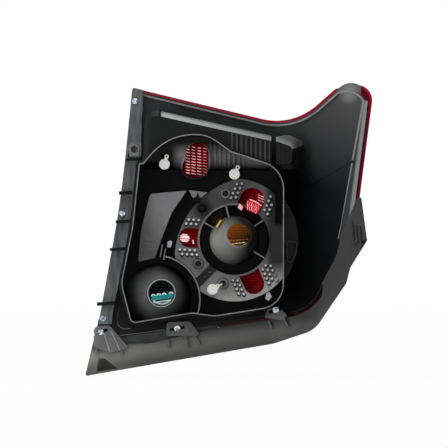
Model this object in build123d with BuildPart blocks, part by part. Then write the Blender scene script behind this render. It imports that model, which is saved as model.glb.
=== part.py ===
"""Rear lamp cluster of a car, right-hand corner, with the car-body side towards -Y.

X runs outboard, Y runs from the car body towards the lens and Z runs up. The origin is the centre of the
turn bulb hole, on the hole's back edge. Lengths are millimetres.
"""

import os
from math import atan2, cos, degrees, radians, sin, sqrt

from build123d import *

os.makedirs("parts", exist_ok=True)

# Wrap of the lens front in plan: a flat rear arc, a tight corner arc and a side arc, all tangent
REAR_RADIUS = 1100.0
CORNER_RADIUS = 100.0
SIDE_RADIUS = 900.0
REAR_START = 8.5
REAR_END = -4.0
CORNER_END = -50.0
SIDE_END = -63.0
APEX_X = -42.0
APEX_Y = 92.0
CROWN_RADIUS = 900.0
CROWN_HALF = 16.0

# Depths behind the lens front
LENS_SKIN = 3.0
SKIRT_END = 20.0
FLOOR_FRONT = 20.2
FLOOR_BACK = 23.2
TONGUE_FRONT = 12.0
SEAL_FRONT = 9.5
BEAD_BACK = 25.7
TRIM_FRONT = 26.0
TRIM_BACK = 28.6
TAB_FRONT = 31.0
TAB_BACK = 33.6
STRIP_FRONT = 33.0
STRIP_BACK = 36.0
GUSSET_BACK = 42.0
LIP_FRONT = 9.0

# Limits of the columns that plates and pockets are cut from
NEAR = -170.0
FAR = 130.0
MOUTH = 80.0
BITE = 1.0

# Clearances: lens to housing, inner pieces to the tub, a sliding face, and a screw in its hole
FIT = 0.3
GAP = 0.4
TOUCH = 0.1
SCREW_PLAY = 0.2

# Walls
WALL = 2.4
SHELL = 2.2
SKIRT_WALL = 3.0

# Lens outline, seen from the car body
LENS_CORNERS = (
    (-133, 185),
    (68.6, 136.6),
    (121, 182.5),
    (168.2, 191),
    (144.5, -2),
    (92, -100),
    (-180.5, -137.5),
    (-147.5, 45),
)
LENS_ROUNDS = (3, 76, 8, 20, 70, 55, 4, 1500)
INSET_ROUNDS = (3, 76, 8, 30, 70, 55, 4, 1500)

# Ear at the upper outboard corner, where the lens skirt has a notch
EAR_CORNERS = ((121.5, 172), (121.5, 180.5), (139, 193.5), (151.5, 184), (151.5, 172))
EAR_ROUNDS = (0, 2, 19, 2, 0)
NOTCH = (136.5, 185.0, 30.0, 26.0)

# Flange along the body side and along the lower edge, with its gussets (x, z, length, width, turn)
STRIP_CORNERS = ((-118, 210), (-123.5, 89), (-134, 25), (-158, -100), (-159, -112), (-240, -112), (-240, 210))
GUSSETS = (
    (-132, 95, 19, 3.2, 2),
    (-142, 53, 16, 4.4, 3),
    (-144, 17, 20, 4.0, 4),
    (-150, -17.5, 23, 3.6, 4),
    (-166, -86, 23, 4.4, 4),
)
LOWER_FLANGE = ((-176, -106), (-26, -98), (-26, -119), (-112, -138.5), (-181, -139.8))

# Beads on the wing: along its edge, along the outboard side, and a parting line
BEAD_IN = 1.8
BEAD_WIDTH = 2.2
WING_BAND = ((153, 166), (159.5, 166), (147, 60), (137, -8), (123, -8), (127.5, 14), (134.4, 56))
WING_ROUNDS = (2, 1, 20, 4, 5, 20, 60)
WING_NOTCH = (141.0, 91.0, 6.0, 4.0)
PARTING = (112.0, 75.6, 66.0, 1.0, 30.4)
PARTING_HEIGHT = 0.7

# Tub: upper block and box boss with sloping ledges, and the rim of the bulb-carrier opening
TUB_CORNERS = ((-110, 151), (41, 117.5), (41, 70), (0, 60), (-114, 80))
TUB_ROUNDS = (9, 2, 4, 10, 8)
TUB_SIDE = 41.0
TUB_BACK = 2.0
LEDGE = 6.5
LEDGE_SLOPE = 45.0
LEDGE_RIB = (-98.0, 151.0, 2.2, 14.0)
BOX_CORNERS = ((47, 117.5), (68, 109.5), (66, 90), (47, 88))
BOX_ROUNDS = (1, 8, 4, 1)
BOX_OUTER = ((47, 123), (62, 125.5), (82, 117), (78, 82), (47, 82))
BOX_OUTER_ROUNDS = (1.5, 14, 9, 8, 1)
BOX_REACH = 20.0
RIM_CORNERS = (
    (-123, 88.5),
    (-118.5, 88.5),
    (-86, 126.5),
    (-38, 123.8),
    (-10, 103.5),
    (55.6, 82),
    (55.2, -87),
    (-30, -100.5),
    (-58, -96.5),
    (-133, -109),
    (-145.5, -61),
    (-131.5, 8),
)
RIM_ROUNDS = (1.5, 4, 70, 42, 12, 34, 30, 40, 20, 5, 30, 60)
RIM_EDGE = -10.0
RIM_WALL = 1.8
LIP_ROUND = 0.8
STEP_DEPTH = 30.0
STEP_OUT = 3.5
STEP_SIDE = 22.0

# Flutes of the upper block and of the tail reflector
FLUTE_PITCH = 5.9
FLUTE_WIDTH = 2.6
FLUTE_HEIGHT = 2.2
FLUTE_START = -8.0
FLUTE_COUNT = 11
FLUTE_LOW = 70.0
FLUTE_TOP = 165.0
FLUTE_MARGIN = 1.5
TAIL_FLUTE_START = -35.0
TAIL_FLUTE_COUNT = 8

# Latch on the drum, beside the rim
LATCH_CORNERS = ((60, -7.5), (74.2, -8.5), (73, -21.5), (66, -36), (60, -33))
LATCH_ROUNDS = (1, 2, 4, 3, 2)
LATCH_BACK = 11.0
LATCH_WALL = 1.8

# Ring chamber; the plate is cut back towards the label panel and beside the rim
RING_X = -5.0
RING_Z = -6.25
DRUM_RADIUS = 80.0
DRUM_BACK = 20.0
RING_OUTER = 77.0
RING_INNER = 43.8
RING_BACK_CUT = 66.0
BACK_CUT_TURN = 140.0
BACK_CUT_SHIFT = 38.0
RING_SIDE = 46.0
RING_SIDE_FOOT = 14.0
DISH_OUTER_Y = 24.0
DISH_INNER_Y = 31.0
DISH_THICK = 2.4
RING_WALL = 2.0
LEDGE_WIDTH = 2.5
RING_BOSSES = ((-16.3, 52.0, 5.6), (-19.5, -61.0, 5.6), (-50.5, -36.0, 5.0))
BOSS_WALL = 1.6
BOSS_HEIGHT = 3.0
PETAL_SILL = 2.4
BUMP_RADIUS = 2.7
BUMP_PITCH = 6.2
BUMP_LANE = 5.4
BUMP_START = 49.0
BUMP_EDGE = 4.2
BUMP_ROWS = 5

# Windows of the ring: turn, width, outer end, and lanes of bumps on the clockwise and the other side
PETALS = ((66.0, 31.0, 70.0, (2, 2)), (177.0, 24.5, 69.5, (2, 2)), (294.0, 26.0, 73.0, (2, 3)))

# Turn reflector and its bulb hole
TURN_HOLE = 14.4
TURN_COLLAR = 17.0
TURN_BASE = 30.5
TURN_FRONT = 48.0
TURN_RIBS = (104.0, 34.5, -31.0, 150.0)
RIB_BACK = 22.0
RIB_WIDTH = 1.8
RIB_LENGTH = 17.0
COLLAR_LENGTH = 4.0

# Snap leg of the turn lens: (x, z, turn) at its hooked end and at its foot
LEG_END = (-24.6, 14.0, 147.0)
LEG_FOOT_TURN = 128.0
LEG_FOOT_OUT = 35.5
LEG_BACK = 10.0
LEG_THICK = 2.4
LEG_WIDTH = 11.0

# Reversing reflector and its bulb hole
REVERSE_X = -96.25
REVERSE_Z = -72.5
REVERSE_HOLE = 15.5
REVERSE_COLLAR = 18.4
REVERSE_BACK = -1.0
REVERSE_BASE_X = -103.0
REVERSE_BASE_Z = -80.5
REVERSE_BASE = 45.0
REVERSE_BASE_Y = 46.0
CHAMBER_WALL = 54.0
CHAMBER_BACK = 3.0
CHAMBER_SPAN = (-92.0, -40.0, -98.0, -20.0)
DOME_ROOM = (-101.25, -78.4)
CORNER_CUT = (-158.0, -122.0, -119.0, -95.0)
WINDOW_PLUG = 36.0

# Carrier plate, label panel and bezel
CARRIER_BACK = 32.4
LABEL_CORNERS = (
    (-110.6, 51.5),
    (-64.4, 55.6),
    (-83, 28.8),
    (-96.9, -6.3),
    (-104.4, -28.8),
    (-125.6, -33.8),
    (-121.9, 6.3),
)
LABEL_ROUNDS = (5, 1, 30, 40, 2, 2, 40)
PANEL_CORNERS = ((-62, 56), (-37, 53), (-37, 40), (-57, 46))
LABEL_BACK = 14.0
LABEL_SQUARE = (-111.8, -16.2, 15.0, 16.5, -7.0)
SQUARE_DEPTH = 0.6
CARRIER_FINS = ((-96.5, -20.0, 1.4, 16.0, -10.0), (-92.5, -24.0, 1.4, 14.0, -10.0))
FIN_BACK = 13.0
BEZEL_BACK = 56.0

# Tail reflector and its long bulb window
TAIL_FOOT_Z = 82.0
TAIL_BACK = 13.0
TAIL_CURVE = 28.0
WINDOW_X = -52.0
WINDOW_Z = 93.5
WINDOW_WIDTH = 29.0
WINDOW_HEIGHT = 44.0
WINDOW_FLARE = (-57.0, 84.5, 13.5)
WINDOW_FRAME = 2.0
FRAME_BACK = 10.0

# Inner lenses: backs of their plates, and their prisms
TAIL_LENS_BACK = 43.5
STOP_LENS_BACK = 46.0
REVERSE_LENS_BACK = 50.0
LENS_PLATE = 2.4
PRISM_PITCH = 3.4
PRISM_HEIGHT = 1.2

# Lower trim: outline of the strip, and its front outline without the part over the lens
TRIM_OUTER = (
    (147, 46),
    (152, 47),
    (159, -7),
    (139, -40),
    (134, -60),
    (95, -119),
    (45, -136.5),
    (-192.5, -177),
)
TRIM_OUTER_ROUNDS = (1, 1.5, 4, 12, 12, 35, 90, 2)
TRIM_INNER = ((-182, -138.5), (-110, -136), (-22, -115.5), (32, -108), (86, -95), (121, -28), (130, 6))
TRIM_INNER_ROUNDS = (3, 60, 60, 60, 35, 50, 30)
TRIM_FRONT_INNER = ((-182, -132), (70, -70), (127, 5))
TRIM_FRONT_ROUNDS = (3, 40, 30)
TRIM_PLATE = 2.4
TRIM_LIP = 2.6
TRIM_GAP = 0.6
TRIM_OVERLAP = 1.0
SHOWN_LENS = ((-26, -60), (-26, -140), (90, -140), (103, -82), (106, -62), (80, -60))
END_GAP = (-187.0, -150.0, 10.0, 30.0, -14.0)
END_POCKET = ((-175.5, -155), (-168, -155), (-151.5, -168), (-177, -172))
END_FLANGE = ((-181, -140), (-174, -140), (-178, -173), (-191, -175.5))
TAB_SHAPES = (
    (((-181.5, -141), (-181.5, -114.5), (-162, -113), (-138, -142), (-160, -148)), (3, 7, 7, 2, 2)),
    (((-90.5, -127), (-90.5, -109.5), (-61, -108.5), (-47, -127)), (2, 5, 5, 3)),
    (((32.5, -104), (36, -93.5), (51, -89), (61.5, -102), (55, -107)), (2, 4, 5, 2, 2)),
)
TAB_FINS = ((-165, -135, 2.2, 25, 18), (-154, -133, 2.2, 27, 25), (-146, -132, 2.2, 24, 37))
FIN_HEIGHT = 1.2
TAB_RIBS = (
    (-178, -138, 2.4, 20, 0),
    (-150, -141, 2.4, 20, 30),
    (-88, -131, 2.4, 22, 0),
    (-66, -130, 2.4, 24, 12),
    (-54, -129, 2.4, 20, 34),
    (37, -106, 2.4, 24, 24),
    (57, -106, 2.4, 20, 30),
)
TAB_SLOT = 19.0
CLIP_BLOCK = ((147, 43), (151, 45.5), (157.5, -6), (138, -12))
CLIP_BLOCK_ROUNDS = (1, 1.5, 4, 4)
CLIP_BLOCK_HEIGHT = 3.0
CLIP_RIDGE = (141.0, 4.0, 1.8, 22.0, 6.0)
CLIP_RIDGE_STEP = (4.5, -2.0)
CLIP_RIDGE_COUNT = 3
CLIP_RIDGE_HEIGHT = 5.0

# Fasteners: screws with their seats and bosses, and push-on clips on their posts
SCREW_HEAD = 3.7
SCREW_SHANK = 1.75
SCREW_LENGTH = 11.0
HEAD_HEIGHT = 1.6
DOME_HEIGHT = 2.4
DOME_IN = 0.8
CROSS_LENGTH = 3.8
CROSS_WIDTH = 1.0
SEAT = 0.7
FLANGE_SCREWS = ((-129.8, 168.0), (-146.0, 27.0), (-169.8, -104.5))
TRIM_SCREWS = ((-173.0, -122.0), (-76.9, -117.5), (46.9, -94.4))
TRIM_SLOT_TURNS = (20.0, 10.0, 20.0)
BOSS_RADIUS = 3.2
TRIM_BOSS = 4.2
POST_RADIUS = 3.2
CLIP_RADIUS = 6.6
CLIP_SLEEVE = 5.2
CLIP_SEAT = 8.0
CLIP_HEIGHT = 4.0
CLIP_LUG = 2.7
LUG_HOLE = 1.2
TAIL_POST = (-92.5, 88.5)
CARRIER_POST = (-5.0, 76.0)
RING_POST = (-32.5, -68.0)
CLIP_REACH = ((2.8, 9.5), (4.0, 8.5), (6.3, 4.0))

# Body locating recess in an arched boss on the flange
RECESS_X = -130.5
RECESS_Z = 107.5
RECESS_RADIUS = 4.4
RECESS_DEPTH = 6.0
ARCH_WALL = 2.0
ARCH_HEIGHT = 2.0
ARCH_FRAME = (17.0, 18.0)
FRAME_HEIGHT = 0.8


def facing(turn):
    return Vector(-sin(radians(turn)), cos(radians(turn)))


REAR_CENTRE = Vector(APEX_X, APEX_Y - REAR_RADIUS)
CORNER_CENTRE = REAR_CENTRE + facing(REAR_END) * (REAR_RADIUS - CORNER_RADIUS)
SIDE_CENTRE = CORNER_CENTRE + facing(CORNER_END) * (CORNER_RADIUS - SIDE_RADIUS)
WRAP_ARCS = (
    (REAR_CENTRE, REAR_RADIUS, REAR_START, REAR_END),
    (CORNER_CENTRE, CORNER_RADIUS, REAR_END, CORNER_END),
    (SIDE_CENTRE, SIDE_RADIUS, CORNER_END, SIDE_END),
)
CROWN_AXIS_Y = APEX_Y - CROWN_RADIUS
LAYERS = {}


def wrap_spot(arc, turn, depth):
    spot = arc[0] + facing(turn) * (arc[1] - depth)
    return (spot.X, spot.Y - CROWN_AXIS_Y)


def wrap_layer(front, back):
    """Solid between two depths behind the lens front, over the whole wrap."""
    if (front, back) in LAYERS:
        return LAYERS[(front, back)]
    tilt = radians(CROWN_HALF)
    section = Plane(origin=(0, CROWN_AXIS_Y, 0), x_dir=(1, 0, 0), z_dir=(0, sin(tilt), cos(tilt)))
    with BuildPart() as layer:
        with BuildSketch(section):
            with BuildLine():
                for depth in (front, back):
                    for arc in WRAP_ARCS:
                        middle = (arc[2] + arc[3]) / 2
                        ThreePointArc(*[wrap_spot(arc, turn, depth) for turn in (arc[2], middle, arc[3])])
                for arc, turn in ((WRAP_ARCS[0], REAR_START), (WRAP_ARCS[2], SIDE_END)):
                    Line(wrap_spot(arc, turn, front), wrap_spot(arc, turn, back))
            make_face()
        revolve(axis=Axis((0, CROWN_AXIS_Y, 0), (1, 0, 0)), revolution_arc=2 * CROWN_HALF)
    LAYERS[(front, back)] = layer.part
    return layer.part


def wrap_y(x, z, depth):
    """Y of the surface at a depth behind the lens front."""
    for arc in WRAP_ARCS:
        if x <= arc[0].X + sin(radians(-arc[3])) * (arc[1] - depth):
            break
    plan = arc[0].Y + sqrt((arc[1] - depth) ** 2 - (x - arc[0].X) ** 2)
    return CROWN_AXIS_Y + sqrt((plan - CROWN_AXIS_Y) ** 2 - z**2)


def outline(corners, rounds=None, grow=0.0):
    """Polygon in the X-Z plane, with rounded corners if radii are given, grown or shrunk."""
    with BuildSketch(Plane.XZ) as shape:
        with BuildLine():
            if rounds:
                FilletPolyline(*corners, radius=rounds, close=True)
            else:
                Polyline(*corners, close=True)
        make_face()
        if grow:
            offset(amount=grow)
    return shape.sketch


def disc(x, z, radius):
    with BuildSketch(Plane.XZ) as shape:
        with Locations((x, z)):
            Circle(radius)
    return shape.sketch


def bar(x, z, width, height, turn=0.0):
    with BuildSketch(Plane.XZ) as shape:
        with Locations((x, z)):
            Rectangle(width, height, rotation=turn)
    return shape.sketch


def block(left, right, low, high):
    return bar((left + right) / 2, (low + high) / 2, right - left, high - low)


def flute(x):
    return block(x - FLUTE_WIDTH / 2, x + FLUTE_WIDTH / 2, FLUTE_LOW, FLUTE_TOP)


def merge(*shapes):
    with BuildSketch(Plane.XZ) as shape:
        for item in shapes:
            add(item)
    return shape.sketch


def common(first, second):
    with BuildSketch(Plane.XZ) as shape:
        add(first)
        add(second, mode=Mode.INTERSECT)
    return shape.sketch


def less(first, *others):
    with BuildSketch(Plane.XZ) as shape:
        add(first)
        for item in others:
            add(item, mode=Mode.SUBTRACT)
    return shape.sketch


def shrink(shape, amount):
    with BuildSketch(Plane.XZ) as smaller:
        add(shape)
        offset(amount=-amount)
    return smaller.sketch


def frame_of(shape, wall):
    """Band of a wall's width inside a shape's edge."""
    return less(shape, shrink(shape, wall))


def column(shape, back, front, draft=0.0):
    """Prism of an X-Z shape between two values of Y; a draft widens it towards the lens."""
    with BuildPart() as prism:
        if draft:
            extrude(Pos(0, back, 0) * shape, amount=front - back, dir=(0, 1, 0), taper=-draft)
        else:
            extrude(Pos(0, front, 0) * shape, amount=front - back)
    return prism.part


def ledged(shape, bounds, back, reach):
    """Column whose back face has a shape and whose edges slope out to wider bounds."""
    with BuildPart() as body:
        add(column(shape, back, back + reach, LEDGE_SLOPE))
        add(column(bounds, back, back + reach), mode=Mode.INTERSECT)
        add(column(bounds, back + reach, MOUTH))
    return body.part


def wrapped(shape, front, back):
    """Plate of an X-Z shape that follows the wrap between two depths."""
    with BuildPart() as plate:
        add(column(shape, NEAR, FAR))
        add(wrap_layer(front, back), mode=Mode.INTERSECT)
    return plate.part


def lofted(sections):
    """Loft through X-Z shapes given with their Y."""
    with BuildPart() as body:
        loft(sections=[Pos(0, y, 0) * shape for shape, y in sections])
    return body.part


def cone(sections, inset=0.0):
    """Loft through circles given as (x, z, radius, y)."""
    return lofted([(disc(x, z, radius - inset), y) for x, z, radius, y in sections])


def ribbed_plate(shape, back):
    """Lens plate with horizontal prism ridges on its back face."""
    box = shape.bounding_box()
    ridges = int((box.max.Z - box.min.Z) / PRISM_PITCH)
    middle = (box.max.Z + box.min.Z) / 2
    root = back + LENS_PLATE / 8
    with BuildPart() as plate:
        add(column(shape, back, back + LENS_PLATE))
        with BuildSketch(Plane.YZ.offset((box.max.X + box.min.X) / 2)):
            for step in range(ridges + 1):
                z = middle + (step - ridges / 2) * PRISM_PITCH
                low = (root, z - PRISM_PITCH / 2)
                crest = (back - PRISM_HEIGHT, z - PRISM_PITCH / 6)
                high = (root, z + PRISM_PITCH / 2)
                with BuildLine():
                    Polyline(low, crest, high, close=True)
                make_face()
        extrude(amount=(box.max.X - box.min.X) / 2, both=True)
        add(column(shape, back - PRISM_HEIGHT - BITE, back + LENS_PLATE), mode=Mode.INTERSECT)
    return plate.part


LENS_SHAPE = outline(LENS_CORNERS, LENS_ROUNDS)
SKIRT_INNER = outline(LENS_CORNERS, LENS_ROUNDS, -SKIRT_WALL)
INSET_SHAPE = outline(LENS_CORNERS, INSET_ROUNDS, -SKIRT_WALL - FIT)
RIM_INNER = outline(RIM_CORNERS, RIM_ROUNDS)
RIM_OUTER = outline(RIM_CORNERS, RIM_ROUNDS, RIM_WALL)
RIM_ROOM = shrink(RIM_INNER, GAP)
STEP_SHAPE = merge(RIM_OUTER, common(shrink(RIM_OUTER, -STEP_OUT), block(NEAR, STEP_SIDE, NEAR, FAR)))
step_hollow = common(shrink(RIM_OUTER, WALL - STEP_OUT), block(NEAR, STEP_SIDE - WALL, NEAR, FAR))
STEP_INNER = merge(RIM_INNER, step_hollow)
TUB_SHAPE = outline(TUB_CORNERS, TUB_ROUNDS)
TUB_BOUNDS = common(outline(TUB_CORNERS, TUB_ROUNDS, LEDGE), block(NEAR, TUB_SIDE, NEAR, 2 * FAR))
BOX_SHAPE = outline(BOX_CORNERS, BOX_ROUNDS)
BOX_BOUNDS = outline(BOX_OUTER, BOX_OUTER_ROUNDS)
EAR_SHAPE = outline(EAR_CORNERS, EAR_ROUNDS)
STRIP_SHAPE = common(LENS_SHAPE, outline(STRIP_CORNERS))
BOSS_SHAPE = merge(*[disc(x, z, BOSS_RADIUS) for x, z in FLANGE_SCREWS])
BOSS_ROOM = merge(*[disc(x, z, BOSS_RADIUS + FIT) for x, z in FLANGE_SCREWS])
DRUM_SHAPE = disc(RING_X, RING_Z, DRUM_RADIUS)

# Housing: floor, tongue, beads, tub, rim, drum, flange strip and fittings
floor_shape = merge(INSET_SHAPE, EAR_SHAPE, STRIP_SHAPE, outline(LOWER_FLANGE))
floor_plate = wrapped(floor_shape, FLOOR_FRONT, FLOOR_BACK)
tongue_inner = shrink(INSET_SHAPE, WALL)
tongue = wrapped(less(INSET_SHAPE, tongue_inner, STRIP_SHAPE), TONGUE_FRONT, FLOOR_FRONT + BITE)
bead_inner = shrink(INSET_SHAPE, BEAD_IN + BEAD_WIDTH)
bead_band = less(shrink(INSET_SHAPE, BEAD_IN), bead_inner, STRIP_SHAPE)
wing_band = less(outline(WING_BAND, WING_ROUNDS), bar(*WING_NOTCH))
beads = wrapped(merge(bead_band, wing_band), FLOOR_FRONT + BITE, BEAD_BACK)
parting_line = wrapped(bar(*PARTING), FLOOR_BACK - BITE, FLOOR_BACK + PARTING_HEIGHT)
ear_wall = wrapped(less(EAR_SHAPE, shrink(INSET_SHAPE, BITE)), TONGUE_FRONT, FLOOR_FRONT + BITE)
strip_block = wrapped(STRIP_SHAPE, FLOOR_FRONT, STRIP_BACK)
strip_void = wrapped(shrink(STRIP_SHAPE, WALL), FLOOR_FRONT - BITE, STRIP_FRONT)
gussets = wrapped(merge(*[bar(*item) for item in GUSSETS]), STRIP_BACK - BITE, GUSSET_BACK)
trim_boss_shape = merge(*[disc(x, z, TRIM_BOSS) for x, z in TRIM_SCREWS])
trim_bosses = wrapped(trim_boss_shape, FLOOR_BACK - BITE, TAB_FRONT - TOUCH)
flute_bars = merge(*[flute(FLUTE_START + FLUTE_PITCH * step) for step in range(FLUTE_COUNT)])
fluted_area = merge(shrink(TUB_SHAPE, FLUTE_MARGIN), shrink(BOX_SHAPE, FLUTE_MARGIN))
flute_shape = less(common(flute_bars, fluted_area), shrink(RIM_OUTER, -RIM_WALL))
recess_y = wrap_y(RECESS_X, RECESS_Z, STRIP_BACK)
arch_foot = RECESS_Z - ARCH_FRAME[1] / 2
arch_width = 2 * (RECESS_RADIUS + ARCH_WALL)
arch_side = RECESS_X - arch_width / 2
arch_legs = block(arch_side, arch_side + arch_width, arch_foot, RECESS_Z)
arch = merge(disc(RECESS_X, RECESS_Z, arch_width / 2), arch_legs)
arch_frame = frame_of(bar(RECESS_X, RECESS_Z, *ARCH_FRAME), BITE)

tub_hollow = ledged(shrink(TUB_SHAPE, WALL), shrink(TUB_BOUNDS, WALL), TUB_BACK + WALL, 2 * LEDGE)
box_hollow = ledged(shrink(BOX_SHAPE, WALL), shrink(BOX_BOUNDS, WALL), TUB_BACK + WALL, BOX_REACH)
latch_frame = frame_of(outline(LATCH_CORNERS, LATCH_ROUNDS), LATCH_WALL)

with BuildPart() as rim_block:
    add(column(RIM_OUTER, RIM_EDGE, MOUTH))
    fillet(rim_block.edges().group_by(Axis.Y)[0], LIP_ROUND)

with BuildPart() as housing:
    add(ledged(TUB_SHAPE, TUB_BOUNDS, TUB_BACK, 2 * LEDGE))
    add(ledged(BOX_SHAPE, BOX_BOUNDS, TUB_BACK, BOX_REACH))
    add(column(bar(*LEDGE_RIB), TUB_BACK, TUB_BACK + 2 * LEDGE))
    add(rim_block.part)
    add(column(STEP_SHAPE, STEP_DEPTH, MOUTH))
    add(column(DRUM_SHAPE, DRUM_BACK, MOUTH))
    add(wrap_layer(NEAR / 2, FLOOR_FRONT), mode=Mode.SUBTRACT)
    add(floor_plate)
    add(tongue)
    add(ear_wall)
    add(beads)
    add(parting_line)
    add(strip_block)
    add(strip_void, mode=Mode.SUBTRACT)
    add(wrapped(BOSS_ROOM, SEAL_FRONT, STRIP_FRONT), mode=Mode.SUBTRACT)
    add(gussets)
    add(column(flute_shape, TUB_BACK - FLUTE_HEIGHT, TUB_BACK + BITE))
    add(tub_hollow, mode=Mode.SUBTRACT)
    add(box_hollow, mode=Mode.SUBTRACT)
    add(column(RIM_INNER, RIM_EDGE - BITE, MOUTH), mode=Mode.SUBTRACT)
    add(column(STEP_INNER, STEP_DEPTH + WALL, MOUTH), mode=Mode.SUBTRACT)
    add(column(shrink(DRUM_SHAPE, WALL), DRUM_BACK + WALL, MOUTH), mode=Mode.SUBTRACT)
    add(trim_bosses)
    for x, z in TRIM_SCREWS:
        end = wrap_y(x, z, FLOOR_FRONT + BITE)
        add(column(disc(x, z, SCREW_SHANK + TOUCH), NEAR, end), mode=Mode.SUBTRACT)
    for x, z in FLANGE_SCREWS:
        seat = wrap_y(x, z, STRIP_BACK) + SEAT
        add(column(disc(x, z, SCREW_SHANK + SCREW_PLAY), NEAR, seat + SCREW_LENGTH), mode=Mode.SUBTRACT)
        add(column(disc(x, z, SCREW_HEAD + GAP), NEAR, seat), mode=Mode.SUBTRACT)
    add(column(arch_frame, recess_y - FRAME_HEIGHT, recess_y + BITE))
    add(column(arch, recess_y - ARCH_HEIGHT, recess_y + RECESS_DEPTH + WALL))
    add(column(disc(RECESS_X, RECESS_Z, RECESS_RADIUS), NEAR, recess_y + RECESS_DEPTH), mode=Mode.SUBTRACT)
    add(column(latch_frame, LATCH_BACK, DRUM_BACK + BITE))

housing.part.label = "housing"
export_step(housing.part, "parts/housing.step")

# Outer lens: skin and skirt, with the screw bosses of the flange
lens_core = wrapped(SKIRT_INNER, LENS_SKIN, SKIRT_END + BITE)
ear_notch = bar(NOTCH[0], NOTCH[1], NOTCH[2] + 2 * FIT, NOTCH[3] + 2 * FIT)
lens_bosses = wrapped(BOSS_SHAPE, LENS_SKIN / 2, STRIP_FRONT - FIT)

with BuildPart() as outer_lens:
    add(wrapped(LENS_SHAPE, 0, SKIRT_END))
    add(lens_core, mode=Mode.SUBTRACT)
    add(wrapped(ear_notch, TONGUE_FRONT - FIT, SKIRT_END + BITE), mode=Mode.SUBTRACT)
    add(lens_bosses)
    for x, z in FLANGE_SCREWS:
        start = wrap_y(x, z, STRIP_BACK)
        add(column(disc(x, z, SCREW_SHANK + TOUCH), NEAR, start + SCREW_LENGTH + WALL), mode=Mode.SUBTRACT)
    add(column(disc(REVERSE_BASE_X, REVERSE_BASE_Z, WINDOW_PLUG), BEZEL_BACK, FAR), mode=Mode.SUBTRACT)

outer_lens.part.label = "outer_lens"
export_step(outer_lens.part, "parts/outer_lens.step")

# Clear window of the reversing light, flush in the outer lens
with BuildPart() as reverse_window:
    add(wrapped(disc(REVERSE_BASE_X, REVERSE_BASE_Z, WINDOW_PLUG - TOUCH), 0, LENS_SKIN))

reverse_window.part.label = "reverse_window"
export_step(reverse_window.part, "parts/reverse_window.step")

# Sealing bead in the corner of the lens skirt, in front of the housing's tongue
seal_band = less(shrink(SKIRT_INNER, TOUCH / 2), tongue_inner, STRIP_SHAPE)

with BuildPart() as lens_seal:
    add(wrapped(seal_band, SEAL_FRONT, TONGUE_FRONT - TOUCH / 2))

lens_seal.part.label = "lens_seal"
export_step(lens_seal.part, "parts/lens_seal.step")

# Lower trim: strip with a front lip along its outer edge, three screw tabs and the clip block
shown_lens = common(shrink(LENS_SHAPE, TRIM_OVERLAP), outline(SHOWN_LENS))
TRIM_SHAPE = less(outline(TRIM_OUTER + TRIM_INNER, TRIM_OUTER_ROUNDS + TRIM_INNER_ROUNDS), shown_lens)
trim_front = outline(TRIM_OUTER + TRIM_FRONT_INNER, TRIM_OUTER_ROUNDS + TRIM_FRONT_ROUNDS)
front_shape = less(trim_front, shrink(LENS_SHAPE, -TRIM_GAP))
flange_room = shrink(outline(LOWER_FLANGE), -SKIRT_WALL)
lip_room = merge(shrink(LENS_SHAPE, -2 * TRIM_LIP), flange_room, bar(*END_GAP))
lip_shape = less(frame_of(TRIM_SHAPE, TRIM_LIP), lip_room)
tab_plates = merge(*[outline(*item) for item in TAB_SHAPES])
tab_ribs = common(merge(*[bar(*item) for item in TAB_RIBS]), merge(shrink(TRIM_SHAPE, BITE), tab_plates))
tab_fins = common(merge(*[bar(*item) for item in TAB_FINS]), tab_plates)
clip_block = outline(CLIP_BLOCK, CLIP_BLOCK_ROUNDS)
ridge_bars = []
for step in range(CLIP_RIDGE_COUNT):
    ridge_x = CLIP_RIDGE[0] + CLIP_RIDGE_STEP[0] * step
    ridge_z = CLIP_RIDGE[1] + CLIP_RIDGE_STEP[1] * step
    ridge_bars.append(bar(ridge_x, ridge_z, *CLIP_RIDGE[2:]))

with BuildPart() as lower_trim:
    add(wrapped(TRIM_SHAPE, TRIM_FRONT, TRIM_BACK))
    add(wrapped(outline(END_POCKET), TRIM_FRONT - BITE, TRIM_BACK + BITE), mode=Mode.SUBTRACT)
    add(wrapped(outline(END_FLANGE), TRIM_BACK - BITE, TRIM_BACK + BITE))
    add(wrapped(lip_shape, LIP_FRONT, TRIM_FRONT + BITE))
    add(wrapped(front_shape, LIP_FRONT, LIP_FRONT + TRIM_PLATE))
    add(wrapped(tab_plates, TAB_FRONT, TAB_BACK))
    add(wrapped(tab_ribs, TRIM_BACK - BITE, TAB_BACK - SCREW_PLAY))
    add(wrapped(tab_fins, TAB_FRONT, TAB_BACK + FIN_HEIGHT))
    add(wrapped(clip_block, TRIM_BACK - BITE, TRIM_BACK + CLIP_BLOCK_HEIGHT))
    add(wrapped(merge(*ridge_bars), TRIM_BACK + BITE, TRIM_BACK + CLIP_RIDGE_HEIGHT))
    for (x, z), turn in zip(TRIM_SCREWS, TRIM_SLOT_TURNS):
        seat = wrap_y(x, z, TAB_BACK) + SEAT
        with BuildSketch(Plane.XZ.offset(-seat - SCREW_LENGTH)):
            with Locations((x, z)):
                SlotOverall(TAB_SLOT, 2 * (SCREW_SHANK + SCREW_PLAY), rotation=turn)
        extrude(amount=4 * SCREW_LENGTH, mode=Mode.SUBTRACT)
        add(column(disc(x, z, SCREW_HEAD + GAP), NEAR, seat), mode=Mode.SUBTRACT)

lower_trim.part.label = "lower_trim"
export_step(lower_trim.part, "parts/lower_trim.step")


def ring_spot(turn, out, across=0.0):
    """Point at a distance out along a spoke of the ring and across it."""
    along = radians(turn)
    x = RING_X + out * cos(along) - across * sin(along)
    z = RING_Z + out * sin(along) + across * cos(along)
    return (x, z)


def reach_of(x, z, centre_x, centre_z):
    return sqrt((x - centre_x) ** 2 + (z - centre_z) ** 2)


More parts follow.
